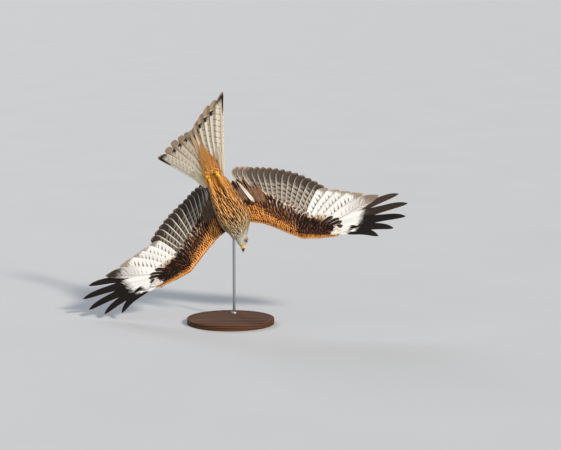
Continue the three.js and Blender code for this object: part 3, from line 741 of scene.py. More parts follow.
is_under = within(BIRD, roots)[:, 2] < 0
for name, pick, slot, lift in (
        ("coat_under", (zone == ON_TORSO) & is_under, "body_plumage", (0.2, 2.6)),
        ("coat_back", (zone == ON_TORSO) & ~is_under, "body_plumage", (0.2, 2.6)),
        ("coat_head", zone == ON_HEAD, "head_plumage", (0.1, 0.9)),
        ("coat_legs", zone == ON_LEG, "body_plumage", (0.2, 2.6)),
        ("coat_rump", zone == ON_RUMP, "body_plumage", (0.2, 2.6))):
    laid = laid_on_skin(roots[pick], lie[pick], sizes[pick], lift)
    add_contour(name, zone[pick], roots[pick], laid, sizes[pick])

# a cuff of four rings of small feathers laps over the top of each bare shank
SHANK_TOP, SHANK_WAY = np.array([-166, 23.6, -40.2]), np.array([-0.965, -0.077, 0.251])
centre, normal, cuff_sizes = [], [], []
for side in (1, -1):
    way = SHANK_WAY * [1, side, 1]
    level = np.cross(way, [0, 1, 0])
    level /= np.linalg.norm(level)
    upright = np.cross(way, level)
    for ring, start in enumerate((-14, -7, 0, 6)):
        for k in range(14):
            turn = 2 * math.pi * (k + ring / 2) / 14 + rng.normal(0, 0.1)
            out = level * math.cos(turn) + upright * math.sin(turn)
            length = 17 * rng.uniform(0.85, 1.1)
            u = POINTED[:, :1]
            far = np.interp(u, [0, 0.45, 1], [1.2, 5.9, 5.2]) + 0.6 * (3 - ring)
            centre.append(carried(BIRD, SHANK_TOP * [1, side, 1] + way * (start + length * u) + out * far))
            normal.append(np.tile(BIRD[:3, :3] @ out, (len(u), 1)))
            cuff_sizes.append([length, 5.2])
centre, normal, cuff_sizes = np.array(centre), np.array(normal), np.array(cuff_sizes)
on_legs = np.full(len(centre), ON_LEG)
add_contour("coat_shanks", on_legs, centre[:, 0], (centre, normal), cuff_sizes)


# The wings: flight feathers.
# Ten primaries, twelve secondaries and three tertials on each wing, long vanes of keratin on a
# stiff shaft, rooted along the hand, the forearm and the elbow.
PRIMARY_LENGTH = [207, 222, 240, 266, 311, 376, 386, 352, 280, 200]
PRIMARY_TURN = [56, 46.5, 39, 32, 24.5, 20, 13, 5.8, -1.4, -8.8]


def flight_rows(wing):
    """Each long feather's kind, number, length, turn and root: primaries outward, the rest inward."""
    rows = []
    for i in range(10):
        t = i / 9
        length = PRIMARY_LENGTH[i] * mixed(*wing["reach"], t)
        rows.append(("primary", i, length, PRIMARY_TURN[i], mixed(92, 112, t), mixed(236, 352, t)))
    for i in range(12):
        t = i / 11
        root = mixed(84, -18, t), mixed(214, 118, t)
        rows.append(("secondary", i, mixed(208, 196, t), mixed(54.6, 113, t), *root))
    for i in range(3):
        t = i / 2
        length, turn = mixed(*wing["inner_length"], t), mixed(*wing["inner_turn"], t)
        rows.append(("tertial", i, length, turn, mixed(-30, -55, t), mixed(100, 55, t)))
    return rows


ROUND_TIP = np.array([
    [0, 0.3], [0.1, 0.62], [0.5, 0.97], [0.7, 1], [0.86, 0.98], [0.94, 0.84], [0.98, 0.56], [1, 0.16]])
FINGER_TIP = np.array([
    [0, 0.3], [0.1, 0.62], [0.25, 0.95], [0.45, 1], [0.54, 0.94], [0.62, 0.8], [0.72, 0.7],
    [0.82, 0.64], [0.9, 0.55], [0.96, 0.38], [1, 0.08]])
BLUNT_FINGER = np.array([
    [0, 0.3], [0.1, 0.62], [0.45, 0.97], [0.66, 1], [0.8, 0.94], [0.9, 0.76], [0.96, 0.52], [1, 0.14]])
AXILLARY_TIP = np.array([[0, 0.3], [0.16, 1], [0.45, 0.8], [0.75, 0.45], [1, 0.05]])
COVERT_TIP = np.array([[0, 0.4], [0.2, 0.75], [0.6, 1], [0.8, 0.95], [0.92, 0.68], [1, 0.15]])
COLUMNS = np.array([-1, -0.84, -0.6, -0.34, -0.045, 0, 0.08, 0.5, 0.85, 1])


def blade(length, lead, trail, outline, rows=30, start=0, bow=0, lift=0, height=0, tilt=0.1, arch=1.6,
          slant=0):
    """A vane as along, across and the heights of its two faces, with a raised shaft and a slanted tip."""
    u = 1 - (1 - np.linspace(0, 1, rows)) ** 1.5
    w = np.interp(u, outline[:, 0], outline[:, 1])
    edge = np.where(COLUMNS > 0, COLUMNS * lead, COLUMNS * trail)
    across = w[:, None] * edge[None]
    shape = across.shape
    share = np.broadcast_to(u[:, None], shape)
    along = start + share * (length - start) - 0.25 * np.abs(across) * step(share, 0.8, 1)
    along = along + slant * across * share ** 4
    middle = height + lift * share ** 2 + tilt * across - arch * (across / trail) ** 2
    shaft = np.broadcast_to(np.where(np.abs(COLUMNS) < 0.01, 1.0, 0.0), shape) * (1.3 - share)
    thin = 0.16 + 0.12 * (1 - share)
    return {
        "along": along, "across": across + 4 * bow * (share - share ** 2), "own": across, "share": share,
        "aside": np.broadcast_to(np.abs(COLUMNS), shape),
        "top": middle + thin + 0.5 * shaft, "bottom": middle - thin - 0.9 * shaft,
    }


def set_on_wing(place, root, turn, shape):
    sin, cos = sin_cos(turn)
    p = root[0] - shape["along"] * sin + shape["across"] * cos
    q = root[1] + shape["along"] * cos + shape["across"] * sin
    return place(p, q, shape["top"]), place(p, q, shape["bottom"])


def flight_look(kind, i, shape, shade, rng):
    """Colours of a flight feather, upper face first, and how far each point is past its tip's border."""
    u, aside, own = shape["share"], shape["aside"], shape["own"]
    white, grey, pale = hexes("#f4f4f3", "#6f6258", "#b5aa9e")
    black, brown, dusk = hexes("#17110e", "#33261d", "#3f352e")
    inner = own < 0
    ticks = step(aside, 0.1, 0.24) * (1 - step(aside, 0.5, 0.66)) * inner
    if kind == "primary":
        reach = [0.86, 0.87, 0.86, 0.85, 0.66, 0.55, 0.46, 0.42, 0.44, 0.35][i]
        tips = hexes("#9a8d80", "#a09386", "#a59889", "#9c8e7f", "#857668", "#3d3029", "#30261f")
        tip = black if i > 6 else tips[i]
        # on the shaded wing the tips of the outer primaries are darkened as painted shade
        tip = blend(black, tip, shade ** 2) if i > 3 else tip
        past = u - reach - np.where(inner, 0.05, -0.04) * aside
        ground = blend(white, dusk, 0.1 * (1 - step(aside, 0.0, 0.5)))
        barred = step(u, 0.3, 0.45) * (1 - step(u, reach - 0.08, reach)) * (i < 6)
        bars = (0.95 if i < 4 else 0.4) * ticks * barred
        if i == 4:
            # the fifth primary is dusky rather than white before its brown tip
            ground = blend(ground, tip, 0.3 * step(u, 0.45, 0.66))
            past = 0.45 * (u - 0.78)
        edge = 0.5 * (i < 5) * (1 - 0.5 * step(u, 0.85, 0.95))
        over, over_bars = blend(brown, black, step(u, 0.2, 0.6)), 0.3
    elif kind == "secondary":
        inward = i / 11
        tip, past = hexes("#463c35")[0], u - mixed(0.74, 0.64, inward) - 0.08 * aside
        ground = blend(pale, grey, mixed(0.05, 0.9, inward))
        ground = blend(ground, dusk, mixed(0.35, 0.75, inward) * (1 - step(aside, 0.1, 0.75)))
        bars = (1 - step(aside, 0.76, 0.92)) * (1 - step(u, 0.8, 0.95))
        edge = np.where(inner, 0.95, 0.15) * (1 - 0.6 * step(u, 0.72, 0.95))
        over, over_bars = np.broadcast_to(brown, (*u.shape, 3)), 0.5
        # on the shaded wing the tip and ground are darkened as painted shade
        tip, ground = blend(black, tip, mixed(0.5, 1, shade)), blend(dusk, ground, mixed(0.35, 1, shade))
    else:
        tip, past = hexes("#6e6258")[0], u - 0.75 - 0.06 * aside
        ground = blend(grey, pale, step(aside, 0.3, 1) * 0.8)
        bars = 0.7 * (1 - step(aside, 0.6, 0.85))
        edge = np.where(inner, 0.8, 0.5) + 0.0 * u
        over, over_bars = blend(brown, hexes("#6e4a31")[0], 0.5 * step(aside, 0.3, 1)), 0.4
        # on the shaded wing the tertials are darkened as painted shade, and the innermost is painted black
        # as the shadow in the gap beside the body
        clear = shade if i < 2 or shade == 1 else 0
        tip, ground = blend(black, tip, mixed(0, 1, clear)), blend(black, ground, mixed(0.1, 1, clear))
    tone = rng.normal(1, 0.08)
    return {
        "ground": np.stack([over * tone, ground * tone]), "tip": tip * tone,
        "past": np.stack([np.full(u.shape, -1.0), past]),
        "width": np.stack([np.full(u.shape, over_bars), bars]),
        "edge": np.stack([np.full(u.shape, 0.3), edge]),
    }


def strip_bake(shape, number, total):
    """A strip of the unwrap for each long feather, one half for each face."""
    x = (number + 0.5 + 0.42 * shape["own"] / 32) / total
    y = 0.02 + 0.46 * shape["share"]
    return np.stack([np.stack([x, y], -1), np.stack([x, y + 0.5], -1)])


def flight_material(name, bar_spacing, bar_width, bar_colour, slant, wander):
    """Keratin of a long feather: satin, dark bars, a pale worn rim that turns rust-orange at the tips as
    painted backlight, and barbs in slanting lines, which are drawn 1.6 mm apart so that they show."""
    made, surface = new_material(name, {"Roughness": 0.55, "Specular IOR Level": 0.2})
    ground = add_node(made, "Attribute", attribute_name="ground")
    ink = add_node(made, "Attribute", attribute_name="ink")
    mark = add_node(made, "Attribute", attribute_name="mark")
    marks = add_node(made, "SeparateColor", {"Color": mark})
    vane_map = add_node(made, "UVMap", uv_map="Vane")
    axes = add_node(made, "SeparateXYZ", {"Vector": vane_map})
    aside = add_node(made, "Math", {0: axes.outputs["X"]}, operation="ABSOLUTE")
    fan = add_node(made, "Math", {0: aside, 1: -1.3, 2: axes.outputs["Y"]}, operation="MULTIPLY_ADD")
    uneven = add_node(made, "TexNoise", {"Vector": vane_map, "Scale": 3.0, "Detail": 3.0})
    back = add_node(made, "Math", {0: aside, 1: -slant, 2: axes.outputs["Y"]}, operation="MULTIPLY_ADD")
    bent = add_node(made, "Math", {0: uneven, 1: bar_spacing * wander, 2: back}, operation="MULTIPLY_ADD")
    bars = add_node(made, "Math", {0: bent, 1: 2 * math.pi / bar_spacing}, operation="MULTIPLY")
    bars = add_node(made, "Math", {0: bars}, operation="SINE")
    bars = add_node(made, "MapRange", {
        "Value": bars, "From Min": 1 - bar_width, "From Max": 1 - bar_width + 0.35})
    bars = add_node(made, "Math", {0: bars, 1: marks.outputs["Red"]}, operation="MULTIPLY")
    vane = add_node(made, "Mix", {"Factor": bars, "A": ground, "B": paint(bar_colour)}, data_type="RGBA")
    shaft = add_node(made, "MapRange", {
        "Value": aside, "From Min": 0.008, "From Max": 0.016, "To Min": 0.6, "To Max": 0.0})
    vane = add_node(made, "Mix", {"Factor": shaft, "A": vane, "B": paint("#8a7c6c")}, data_type="RGBA")
    # the tip's colour runs in along the barbs, about 4 mm apart, so that its border is torn
    scaled = [add_node(made, "Math", {0: way, 1: times}, operation="MULTIPLY")
              for way, times in ((fan, 26.0), (aside, 4.0))]
    torn = add_node(made, "CombineXYZ", {"X": scaled[0], "Y": scaled[1]})
    torn = add_node(made, "TexNoise", {"Vector": torn, "Scale": 1.0, "Detail": 2.0})
    tip = add_node(made, "Attribute", attribute_name="tip")
    past = add_node(made, "Math", {0: torn, 1: 0.26, 2: tip.outputs["Alpha"]}, operation="MULTIPLY_ADD")
    past = add_node(made, "MapRange", {"Value": past, "From Min": 0.1, "From Max": 0.16})
    vane = add_node(made, "Mix", {"Factor": past, "A": vane, "B": tip}, data_type="RGBA")
    rim = add_node(made, "MapRange", {"Value": marks.outputs["Green"], "From Min": 0.84, "From Max": 0.97})
    end = add_node(made, "MapRange", {"Value": mark.outputs["Alpha"], "From Min": 0.955, "From Max": 0.985})
    rim = add_node(made, "Math", {0: rim, 1: end}, operation="MAXIMUM")
    rim = add_node(made, "Math", {0: rim, 1: marks.outputs["Blue"]}, operation="MULTIPLY")
    vane = add_node(made, "Mix", {"Factor": rim, "A": vane, "B": ink}, data_type="RGBA")
    barbs = add_node(made, "Math", {0: fan, 1: 2 * math.pi / 0.016}, operation="MULTIPLY")
    barbs = add_node(made, "Math", {0: barbs}, operation="SINE")
    tone = add_node(made, "MapRange", {"Value": barbs, "From Min": -1.0, "To Min": 0.9, "To Max": 1.04})
    vane = add_node(made, "VectorMath", {0: vane, "Scale": tone}, operation="SCALE")
    join(made, vane, surface.inputs["Base Color"])
    relief = add_node(made, "Bump", {"Height": barbs, "Strength": 0.3, "Distance": 0.0002})
    join(made, relief, surface.inputs["Normal"])
    return made


# spacings in decimetres, as on the vane's own map: bars 18 mm apart
flight_keratin = flight_material("flight_feather_keratin", 0.18, 0.72, "#1a120e", 0.5, 0.7)
# the pale rim of the feather edges, and the rust-orange it turns to at the tips, which is painted backlight
# shining through them
RIM, BACKLIT_TIP_GLOW = hexes("#eae3d4", "#a97443")


def pack_blades(name, blades, material):
    """Joins blades with the same grid into one piece: each has faces, colours and a bake strip."""
    shape = (len(blades), *blades[0]["ground"].shape[:3])

    def both_faces(key):
        return np.stack([np.stack([b["shape"][key]] * 2) for b in blades])

    vane = [np.stack([b["shape"]["own"], b["shape"]["along"] + b["shift"]], -1) for b in blades]
    look = {
        # the rim turns rust-orange at the tips as painted backlight
        "ink": blend(RIM, BACKLIT_TIP_GLOW, 0.7 * step(both_faces("share"), 0.88, 0.97)),
        "aside": both_faces("aside"), "share": both_faces("share"),
        "tip": np.broadcast_to(np.stack([b["tip"] for b in blades])[:, None, None, None], (*shape, 3)),
        "vane": np.stack([np.stack([v, v]) for v in vane]) * 0.01,
    }
    for key in ("ground", "width", "edge", "past"):
        look[key] = np.stack([b[key] for b in blades])
    top, bottom = (np.stack([b["faces"][i] for b in blades]) for i in (0, 1))
    made = vane_mesh(name, top, bottom, look, np.stack([b["bake"] for b in blades]), material)
    return made


def wing_flight(name, wing):
    rng = np.random.default_rng(11)
    blades = []
    rows = flight_rows(wing)
    for number, (kind, i, length, turn, p, q) in enumerate(rows):
        # blunt tips are cut so that together they make a smooth trailing edge
        slant = 1 / math.tan(math.radians(turn + 26)) if kind == "primary" else -0.3
        if kind == "primary" and i >= 5:
            shape = blade(length, 12, 27, FINGER_TIP, lift=22, bow=mixed(-8, wing["hook"], (i - 5) / 4))
        elif kind == "primary":
            outline = BLUNT_FINGER if i == 4 else ROUND_TIP
            shape = blade(length, 13, [36, 40, 43, 42, 36][i], outline, slant=slant)
        else:
            shape = blade(length, 13, 34, ROUND_TIP, slant=slant)
        blades.append({
            **flight_look(kind, i, shape, wing["shade"], rng), "shape": shape, "shift": rng.uniform(0, 60),
            "faces": set_on_wing(wing["place"], (p, q), turn, shape),
            "bake": strip_bake(shape, number, len(rows)),
        })
    return pack_blades(f"wing_{name}_flight_feathers", blades, flight_keratin)


for name, wing in WINGS.items():
    wing["flight"] = wing_flight(name, wing)
    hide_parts(f"wing_{name}")


# The wings: coverts.
# Greater coverts lie over the roots of the flight feathers on both faces, and rows of median and
# lesser coverts cover the arm from there up to its leading edge. All are soft keratin vanes.
def greater_look(kind, i, shape, face, shade, rng):
    u, aside = shape["share"], shape["aside"]
    white, mottle, black, brown, rufous = hexes("#e6dfd3", "#85776a", "#1e1612", "#4a3626", "#8a5a35")
    edge = np.full(u.shape, 0.5)
    if face > 0:
        ground = blend(brown, rufous, 0.5 * step(aside, 0.4, 1))
        ground = blend(black, brown, 0.6) if kind == "primary" else ground
        bars = np.full(u.shape, 0.15)
    elif kind == "primary" and i < 3:
        ground = blend(hexes("#5a3a22")[0], hexes("#cdb795")[0], step(u, 0.62, 0.78))
        ground = blend(ground, white, step(u, 0.8, 0.98))
        bars, edge = 0.8 * (1 - step(aside, 0.5, 0.8)) * step(u, 0.6, 0.8), 0.8 * step(u, 0.62, 0.8)
    elif kind == "primary":
        ground, bars, edge = black, np.zeros(u.shape), 0.95 * step(u, 0.5, 0.65)
    else:
        ground = blend(mottle, white, 0.75 * step(aside, 0.3, 0.9) * step(u, 0.45, 0.7))
        ground = blend(ground, brown, 0.85 * (1 - step(u, 0.4, 0.75)))
        # on the shaded wing these coverts are darkened toward brown as painted shade
        ground = blend(brown, ground, mixed(0.45, 1, shade))
        bars, edge = 0.9 * (1 - step(aside, 0.55, 0.85)), 0.7 * step(u, 0.5, 0.75)
    both = np.broadcast_to(ground, (2, *u.shape, 3)) * rng.normal(1, 0.12)
    return {"ground": both, "width": np.stack([bars, bars]), "edge": np.stack([edge, edge]),
            "tip": black, "past": np.full((2, *u.shape), -1.0)}


def plain_blade(shape, ground, edge, tip, shift, faces, bake):
    """A long feather of one colour, with no bars and no tip of its own."""
    flat = np.zeros((2, *shape["share"].shape))
    return {
        "ground": np.broadcast_to(ground, (*flat.shape, 3)), "width": flat, "edge": flat + edge, "tip": tip,
        "past": flat - 1, "shape": shape, "shift": shift, "faces": faces, "bake": bake}


def greater_coverts(name, wing):
    rng = np.random.default_rng(13)
    blades = []
    rows = flight_rows(wing)
    hand_reach = [82, 90, 98, 108, 112, 104, 92, 68, 36, 14]
    for face, share in ((1, 0.47), (-1, 0.4)):
        for number, (kind, i, length, turn, p, q) in enumerate(rows):
            if face < 0 and kind == "tertial":
                continue
            reach, lead, trail = min(length * share, 104), 11, 22
            if face > 0 and kind == "primary":
                reach = min(reach, 130 - 12 * i)
            elif kind == "primary":
                reach, lead, trail = hand_reach[i], 9, 18 if i < 3 else 13
            reach = reach * rng.uniform(0.94, 1.04)
            shape = blade(reach, lead, trail, COVERT_TIP, rows=14, start=-8, height=face * 3.4, arch=1.2)
            blades.append({
                **greater_look(kind, i, shape, face, wing["shade"], rng), "shape": shape,
                "shift": rng.uniform(0, 60), "faces": set_on_wing(wing["place"], (p, q), turn, shape),
                "bake": strip_bake(shape, number + (0 if face > 0 else 25), 75),
            })
    # the axillaries, long loose pointed feathers in the armpit
    dark, rufous, bright = hexes(*wing["axillaries"])
    for i in range(24):
        q = mixed(-22, 84, i / 23)
        light = 34 < q < 46
        if light:
            long, half, low = mixed(126, 96, (q - 34) / 14), 5, 2.5
        else:
            long, half, low = rng.uniform(78, 108), rng.uniform(5, 8), rng.uniform(0, 1.5)
        shape = blade(long, half, half, AXILLARY_TIP, rows=14, height=-9 - low, lift=-2, arch=1.2)
        streak = blend(blend(dark, rufous, rng.random()), dark, 1 - step(shape["aside"], 0.2, 0.6))
        ground = bright if light else streak * rng.normal(1, 0.15)
        # on the left wing the armpit feathers nearest the body are darkened almost to black as painted
        # shadow
        ground = ground * (mixed(0.1, 1, step(q, 28, 44)) if wing["side"] > 0 else 1)
        turn = 122 if light else mixed(132, 106, i / 23) + rng.normal(0, 3)
        faces = set_on_wing(wing["place"], (-46 - 7 * light, q), turn, shape)
        bake = strip_bake(shape, 50 + i, 75)
        blades.append(plain_blade(shape, ground, 0.3, dark, rng.uniform(0, 60), faces, bake))
    return pack_blades(f"wing_{name}_greater_coverts", blades, flight_keratin)


def arm_at(q):
    return [np.interp(q, ARM[:, 0], ARM[:, i]) for i in (1, 2, 3)]


def arm_height(p, q):
    lead, trail, thick = arm_at(q)
    cos = np.clip(2 * (p - trail) / (lead - trail) - 1, -1, 1)
    swell = thick / 2 * np.sqrt(1 - cos ** 2) * (0.75 + 0.25 * cos)
    return np.maximum(swell, 3.4 * step(lead - p, 4, 26))


def small_coverts(name, wing, face):
    rng = np.random.default_rng(17 + face)
    spots = []
    chord, row = 0.0, 0
    while chord < 1.02:
        width = mixed(10, 15, step(chord, 0.1, 0.8))
        q = -16 + (row % 2) * width * 0.4
        while q < 366:
            spots.append((chord + rng.normal(0, 0.01), q, width * mixed(1, 0.72, step(q, 230, 360))))
            q += spots[-1][2] * 0.8
        chord += mixed(0.07, 0.115, step(chord, 0.1, 0.8))
        row += 1
    chord, q, width = (np.array(v) for v in zip(*spots))
    lead, trail, _ = arm_at(q)
    depth = np.clip(chord, 0, 1.05) * (lead - trail)
    p = lead + wing["fullness"] - depth
    near_lead = np.interp(q, [-20, 118, 222, 290, 372], [100, 96, 78, 42, 10])
    near_trail = np.interp(q, [-20, 100, 118, 214, 236, 300, 352, 372], [112, 108, 104, 64, 56, 34, 6, 0])
    turn = np.radians(mixed(near_lead, near_trail, step(chord, 0.2, 0.9)) + rng.normal(0, 3, len(q)))
    length = mixed(19, 46, step(chord, 0.05, 0.9)) * mixed(1, 0.85, step(q, 230, 360))
    length = length * rng.uniform(0.9, 1.1, len(q))
    shoulder = step(-q, -70, -20) * step(chord, 0.1, 0.5)
    length = length * (1 + 0.5 * shoulder)
    width = width * (1 + 0.35 * shoulder) * 1.25
    u = POINTED[:, 0]
    outline = np.interp(u, [0, 0.2, 0.55, 0.8, 0.93, 1], [0.45, 0.8, 1, 0.9, 0.6, 0.12])
    half = outline[None, :, None] * (width / 2)[:, None, None]
    across = half * ACROSS
    along = np.broadcast_to((u[None] * length[:, None])[..., None], across.shape)
    sin, cos = np.sin(turn)[:, None, None], np.cos(turn)[:, None, None]
    at_p = p[:, None, None] - along * sin + across * cos
    at_q = q[:, None, None] + along * cos + across * sin
    raised = 0.4 + 2.4 * u[None, :, None] + 0.16 * half * (1 - np.abs(ACROSS))
    base = arm_height(at_p, at_q) + raised
    top = wing["place"](at_p, at_q, face * base)
    low = wing["place"](at_p, at_q, face * (base - VANE_THICK))
    vane = np.stack([across, along], -1) * 0.1
    look = varied_look(covert_colours(face, chord, depth, q, wing, rng), 0.1, (0.5, 1.4), vane, rng)
    unwrap = np.column_stack([0.02 + 0.95 * (q + 20) / 400, 0.02 + 0.95 * np.clip(chord, 0, 1.06) / 1.07])
    bake = bake_patch(unwrap, vane, np.column_stack([length, width]))
    word = "upper" if face > 0 else "under"
    made = vane_mesh(f"wing_{name}_{word}_coverts", top, low, look, bake, contour)


def covert_colours(face, chord, depth, q, wing, rng):
    """Ground, ink, streak and edge: orange behind the leading edge, then brown, dark at the wrist, and
    painted black as the shadow beside the body on the shaded wing, whose coverts are painted a little
    lighter to offset its shade."""
    if face < 0:
        orange, rust, brown, pale, dark = hexes("#ee9a42", "#a85f26", "#684125", "#cfc5b6", "#2a1307")
        scallop, black, white, armpit = hexes("#84451d", "#0e0806", "#efe9df", wing["axillaries"][0])
        chance = rng.random(len(q))
        border = mixed(46, 18, step(q, 20, 190))
        band = step(depth, border - 8, border + 8)
        ground = blend(orange, blend(brown, rust, chance ** 1.3), band)
        ground = blend(ground, pale, 0.8 * step(chord, 0.78, 0.98) * (1 - step(q, 175, 210)) * chance ** 2)
        # the armpit colour, darker on the left wing as painted shade
        ground = blend(ground, armpit, step(-q, -40, -4) * step(chord, 0.3, 0.55) * 0.7)
        # painted light and shadow: the shaded wing's coverts are lightened a little to offset its shade, and
        # painted black beside the body where the gap's shadow falls
        painted_gap_shadow = step(-q, -48, -34) * (wing["side"] > 0)
        ground = blend(ground * mixed(1.04, 1, wing["shade"]), black, painted_gap_shadow)
        wrist = step(q, 188, 212) * step(depth, 0.5, 4)
        ground = blend(ground, scallop, wrist)
        ink = blend(dark, black, wrist)
        width = mixed(mixed(0.36, 0.5, band), 0.66, wrist)
        edge = mixed(mixed(0.95, 0.6, band), 0.0, wrist)
        # the hand's end is white again
        last = step(q, 326, 338) * step(depth, 1, 4)
        return blend(ground, white, last), ink, width * (1 - last), edge
    brown, rufous, buff, black = hexes("#4a3222", "#935a2f", "#cda473", "#231a15")
    ground = blend(rufous, brown, step(chord, 0, 0.3))
    pale_band = step(chord, 0.4, 0.55) * (1 - step(chord, 0.85, 1)) * (1 - step(q, 190, 260))
    ground = blend(ground, buff, 0.9 * pale_band)
    ground = blend(ground, black, step(q, 240, 300) * 0.8)
    ink, = hexes("#21160f")
    return ground, np.broadcast_to(ink, ground.shape), np.full(len(q), 0.42), np.full(len(q), 0.5)


for name, wing in WINGS.items():
    greater_coverts(name, wing)
    small_coverts(name, wing, 1)
    small_coverts(name, wing, -1)


# The tail.
# Six pairs of long feathers fanned from the rump, forked because the outer ones are longest,
# with five tiers of plain coverts in a long wedge over their roots below and one even row above.
TAIL_LENGTH = [272, 284, 297, 314, 323, 343]
TAIL_FAN = [2, 6.5, 12, 18.5, 25, 31]
TAIL_TIP = np.array([
    [0, 0.3], [0.1, 0.62], [0.5, 0.97], [0.8, 1], [0.91, 0.99], [0.96, 0.9], [0.985, 0.7], [1, 0.3]])
tail_keratin = flight_material("tail_feather_keratin", 0.24, 0.3, "#1c130d", 0.3, 0.25)


def set_on_tail(side, fan, start, aside, shape):
    sin, cos = sin_cos(fan)
    out = aside + shape["along"] * sin + shape["across"] * cos
    back = start + shape["along"] * cos - shape["across"] * sin
    faces = []
    for height in (shape["top"], shape["bottom"]):
        faces.append(carried(TAIL, np.stack([back, side * out, height], -1)))
    return faces


def tail_look(i, shape, rng):
    u, own, aside = shape["share"], shape["own"], shape["aside"]
    cream, tan, tint, dusk = hexes("#fff3dc", "#e6d2ae", "#d39c58", "#bfa585")
    rufous, corner, black = hexes("#b56a3a", "#20170f", "#120c08")
    outer, inner = step(own, 1, 4), own < 0
    ground = blend(cream, tint, [0.85, 0.4, 0.15, 0, 0, 0][i] * np.ones(u.shape))
    ground = blend(ground, tan, 0.6 * (1 - step(aside, 0.1, 0.7)))
    tip, past = (corner, u - np.where(own > 1, 0.74, 0.9)) if i == 5 else (dusk, u - 0.84)
    over = blend(rufous, corner, 0.8 * outer * step(u, 0.55, 0.9) * (i >= 4))
    # each of the middle feathers has a black hook below its tip, the centre ones broken black lines
    at = [0, 0, 0.87, 0.85, 0.86, 0.86][i]
    across = step(u, at - 0.012, at - 0.004) * (1 - step(u, at + 0.012, at + 0.02)) * (aside > 0.3)
    along = step(u, at - 0.06, at - 0.05) * (1 - step(u, at, at + 0.01)) * (aside > 0.55) * (aside < 0.9)
    hook = np.clip(across + along, 0, 1) * inner * (i in (2, 3, 4))
    lines = (aside > 0.3) * (aside < 0.4) * (np.sin(u * 46) > -0.3) * step(u, 0.6, 0.62) * (i < 2)
    ground, past = blend(ground, black, np.maximum(hook, lines)), past - hook - lines
    # a painted shadow line along the inner edge of each feather but the outermost, where its neighbour
    # overlaps it
    ground = blend(ground, dusk * 0.3, 0.8 * step(aside, 0.86, 0.95) * inner * (i < 5))
    ticks = step(aside, 0.08, 0.16) * (1 - step(aside, 0.4, 0.5)) * inner
    edged = step(aside, 0.72, 0.8) * (i == 5)
    bars = 0.95 * np.maximum(ticks, edged) * step(u, 0.3, 0.42) * (1 - step(u, 0.84, 0.88))
    edge = 0.75 * (1 - 0.9 * inner * (i < 5) * (1 - step(u, 0.9, 0.97)))
    return {
        "ground": np.stack([over, ground]) * rng.normal(1, 0.04), "tip": tip,
        "past": np.stack([np.full(u.shape, -1.0), past]),
        "width": np.stack([np.full(u.shape, 0.35), bars]), "edge": np.stack([edge, edge]),
    }


rng = np.random.default_rng(19)
blades = []
for side in (1, -1):
    for i in range(6):
        fan = TAIL_FAN[i]
        slant = math.tan(math.radians(fan + 6)) * (1 if i == 5 else 0.15)
        shape = blade(TAIL_LENGTH[i], 12, 31, TAIL_TIP, rows=90, bow=-7, slant=slant)
        blades.append({
            **tail_look(i, shape, rng), "shape": shape, "shift": rng.uniform(0, 40),
            "faces": set_on_tail(side, fan, 0, 8.5 * (i + 0.5), shape),
            "bake": strip_bake(shape, i + (0 if side > 0 else 6), 12),
        })
tail = pack_blades("tail_feathers", blades, tail_keratin)
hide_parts("tail")

# under the tail the coverts make a long pointed wedge; above it they are shorter and even
rng = np.random.default_rng(23)
blades = []
orange, soft, over, cream = hexes("#e5932b", "#efb150", "#b46c38", "#f0dfc0")


def add_tail_covert(shape, ground, edge, tip, shift, faces):
    blades.append(plain_blade(shape, ground, edge, tip, shift, faces, strip_bake(shape, len(blades), 100)))


# each tier's length, its height at the root and how far it rises to its tip
TIERS = [(190, -14, 12), (164, -17, 13), (138, -19, 12), (110, -21, 12), (84, -22, 11)]
for length, height, rise in TIERS:
    for i in range(15):
        out = i / 7 - 1
        wedge = 1 - 0.62 * abs(out) ** 1.2
        shape = blade(length * wedge * rng.uniform(0.93, 1.04), 9, 9, COVERT_TIP, rows=14, tilt=0.04)
        rising = height * (1 - 0.3 * out * out) + rise * shape["share"]
        shape["top"], shape["bottom"] = shape["top"] + rising, shape["bottom"] + rising
        ground = blend(orange, soft, step(shape["share"], 0.5, 1)) * rng.normal(1, 0.07)
        shift = rng.uniform(0, 40)
        faces = set_on_tail(1, 11 * out + rng.normal(0, 2), 8, mixed(-6, 42 * out, 0.9), shape)
        add_tail_covert(shape, ground, 0.22, orange, shift, faces)
# pale coverts beside the wedge lie over the roots of the outermost tail feathers
for side in (1, -1):
    for i in range(4):
        shape = blade(126 - 14 * i, 8, 9, COVERT_TIP, rows=14, height=-6 - i, lift=4, tilt=0.04)
        ground, shift = cream * rng.normal(1, 0.04), rng.uniform(0, 40)
        faces = set_on_tail(side, 22 + i, 10, 44 + 3.5 * i, shape)
        add_tail_covert(shape, ground, 0.4, cream, shift, faces)
for i in range(11):
    shape = blade(110 * rng.uniform(0.93, 1.04), 11, 11, COVERT_TIP, rows=14, height=12, lift=-10, tilt=0.04)
    ground, shift = over * rng.normal(1, 0.06), rng.uniform(0, 40)
    faces = set_on_tail(1, mixed(-27, 27, i / 10), 14, 0, shape)
    add_tail_covert(shape, ground, 0.3, over, shift, faces)
pack_blades("tail_coverts", blades, tail_keratin)


# The eyes.
# A glass ball set in each side of the head, its cornea bulging a little over a pale amber iris
# and a black pupil, with a ring of bare dark skin round it that makes the lids.
def put_points(thing, points):
    thing.data.vertices.foreach_set("co", (np.asarray(points) * 0.001).astype(np.float32).ravel())
    facing_out(thing.data)
    thing.data.shade_smooth()
    thing.data.update()


def named(name, slot, *nodes):
    """Finishes the active object as a piece: its name and ride, and the solids it stands for, which it
    hides; the slot is not used.
    """
    made = bpy.context.active_object
    made.name = made.data.name = name
    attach(made, "root")
    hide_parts(*nodes)
    return made


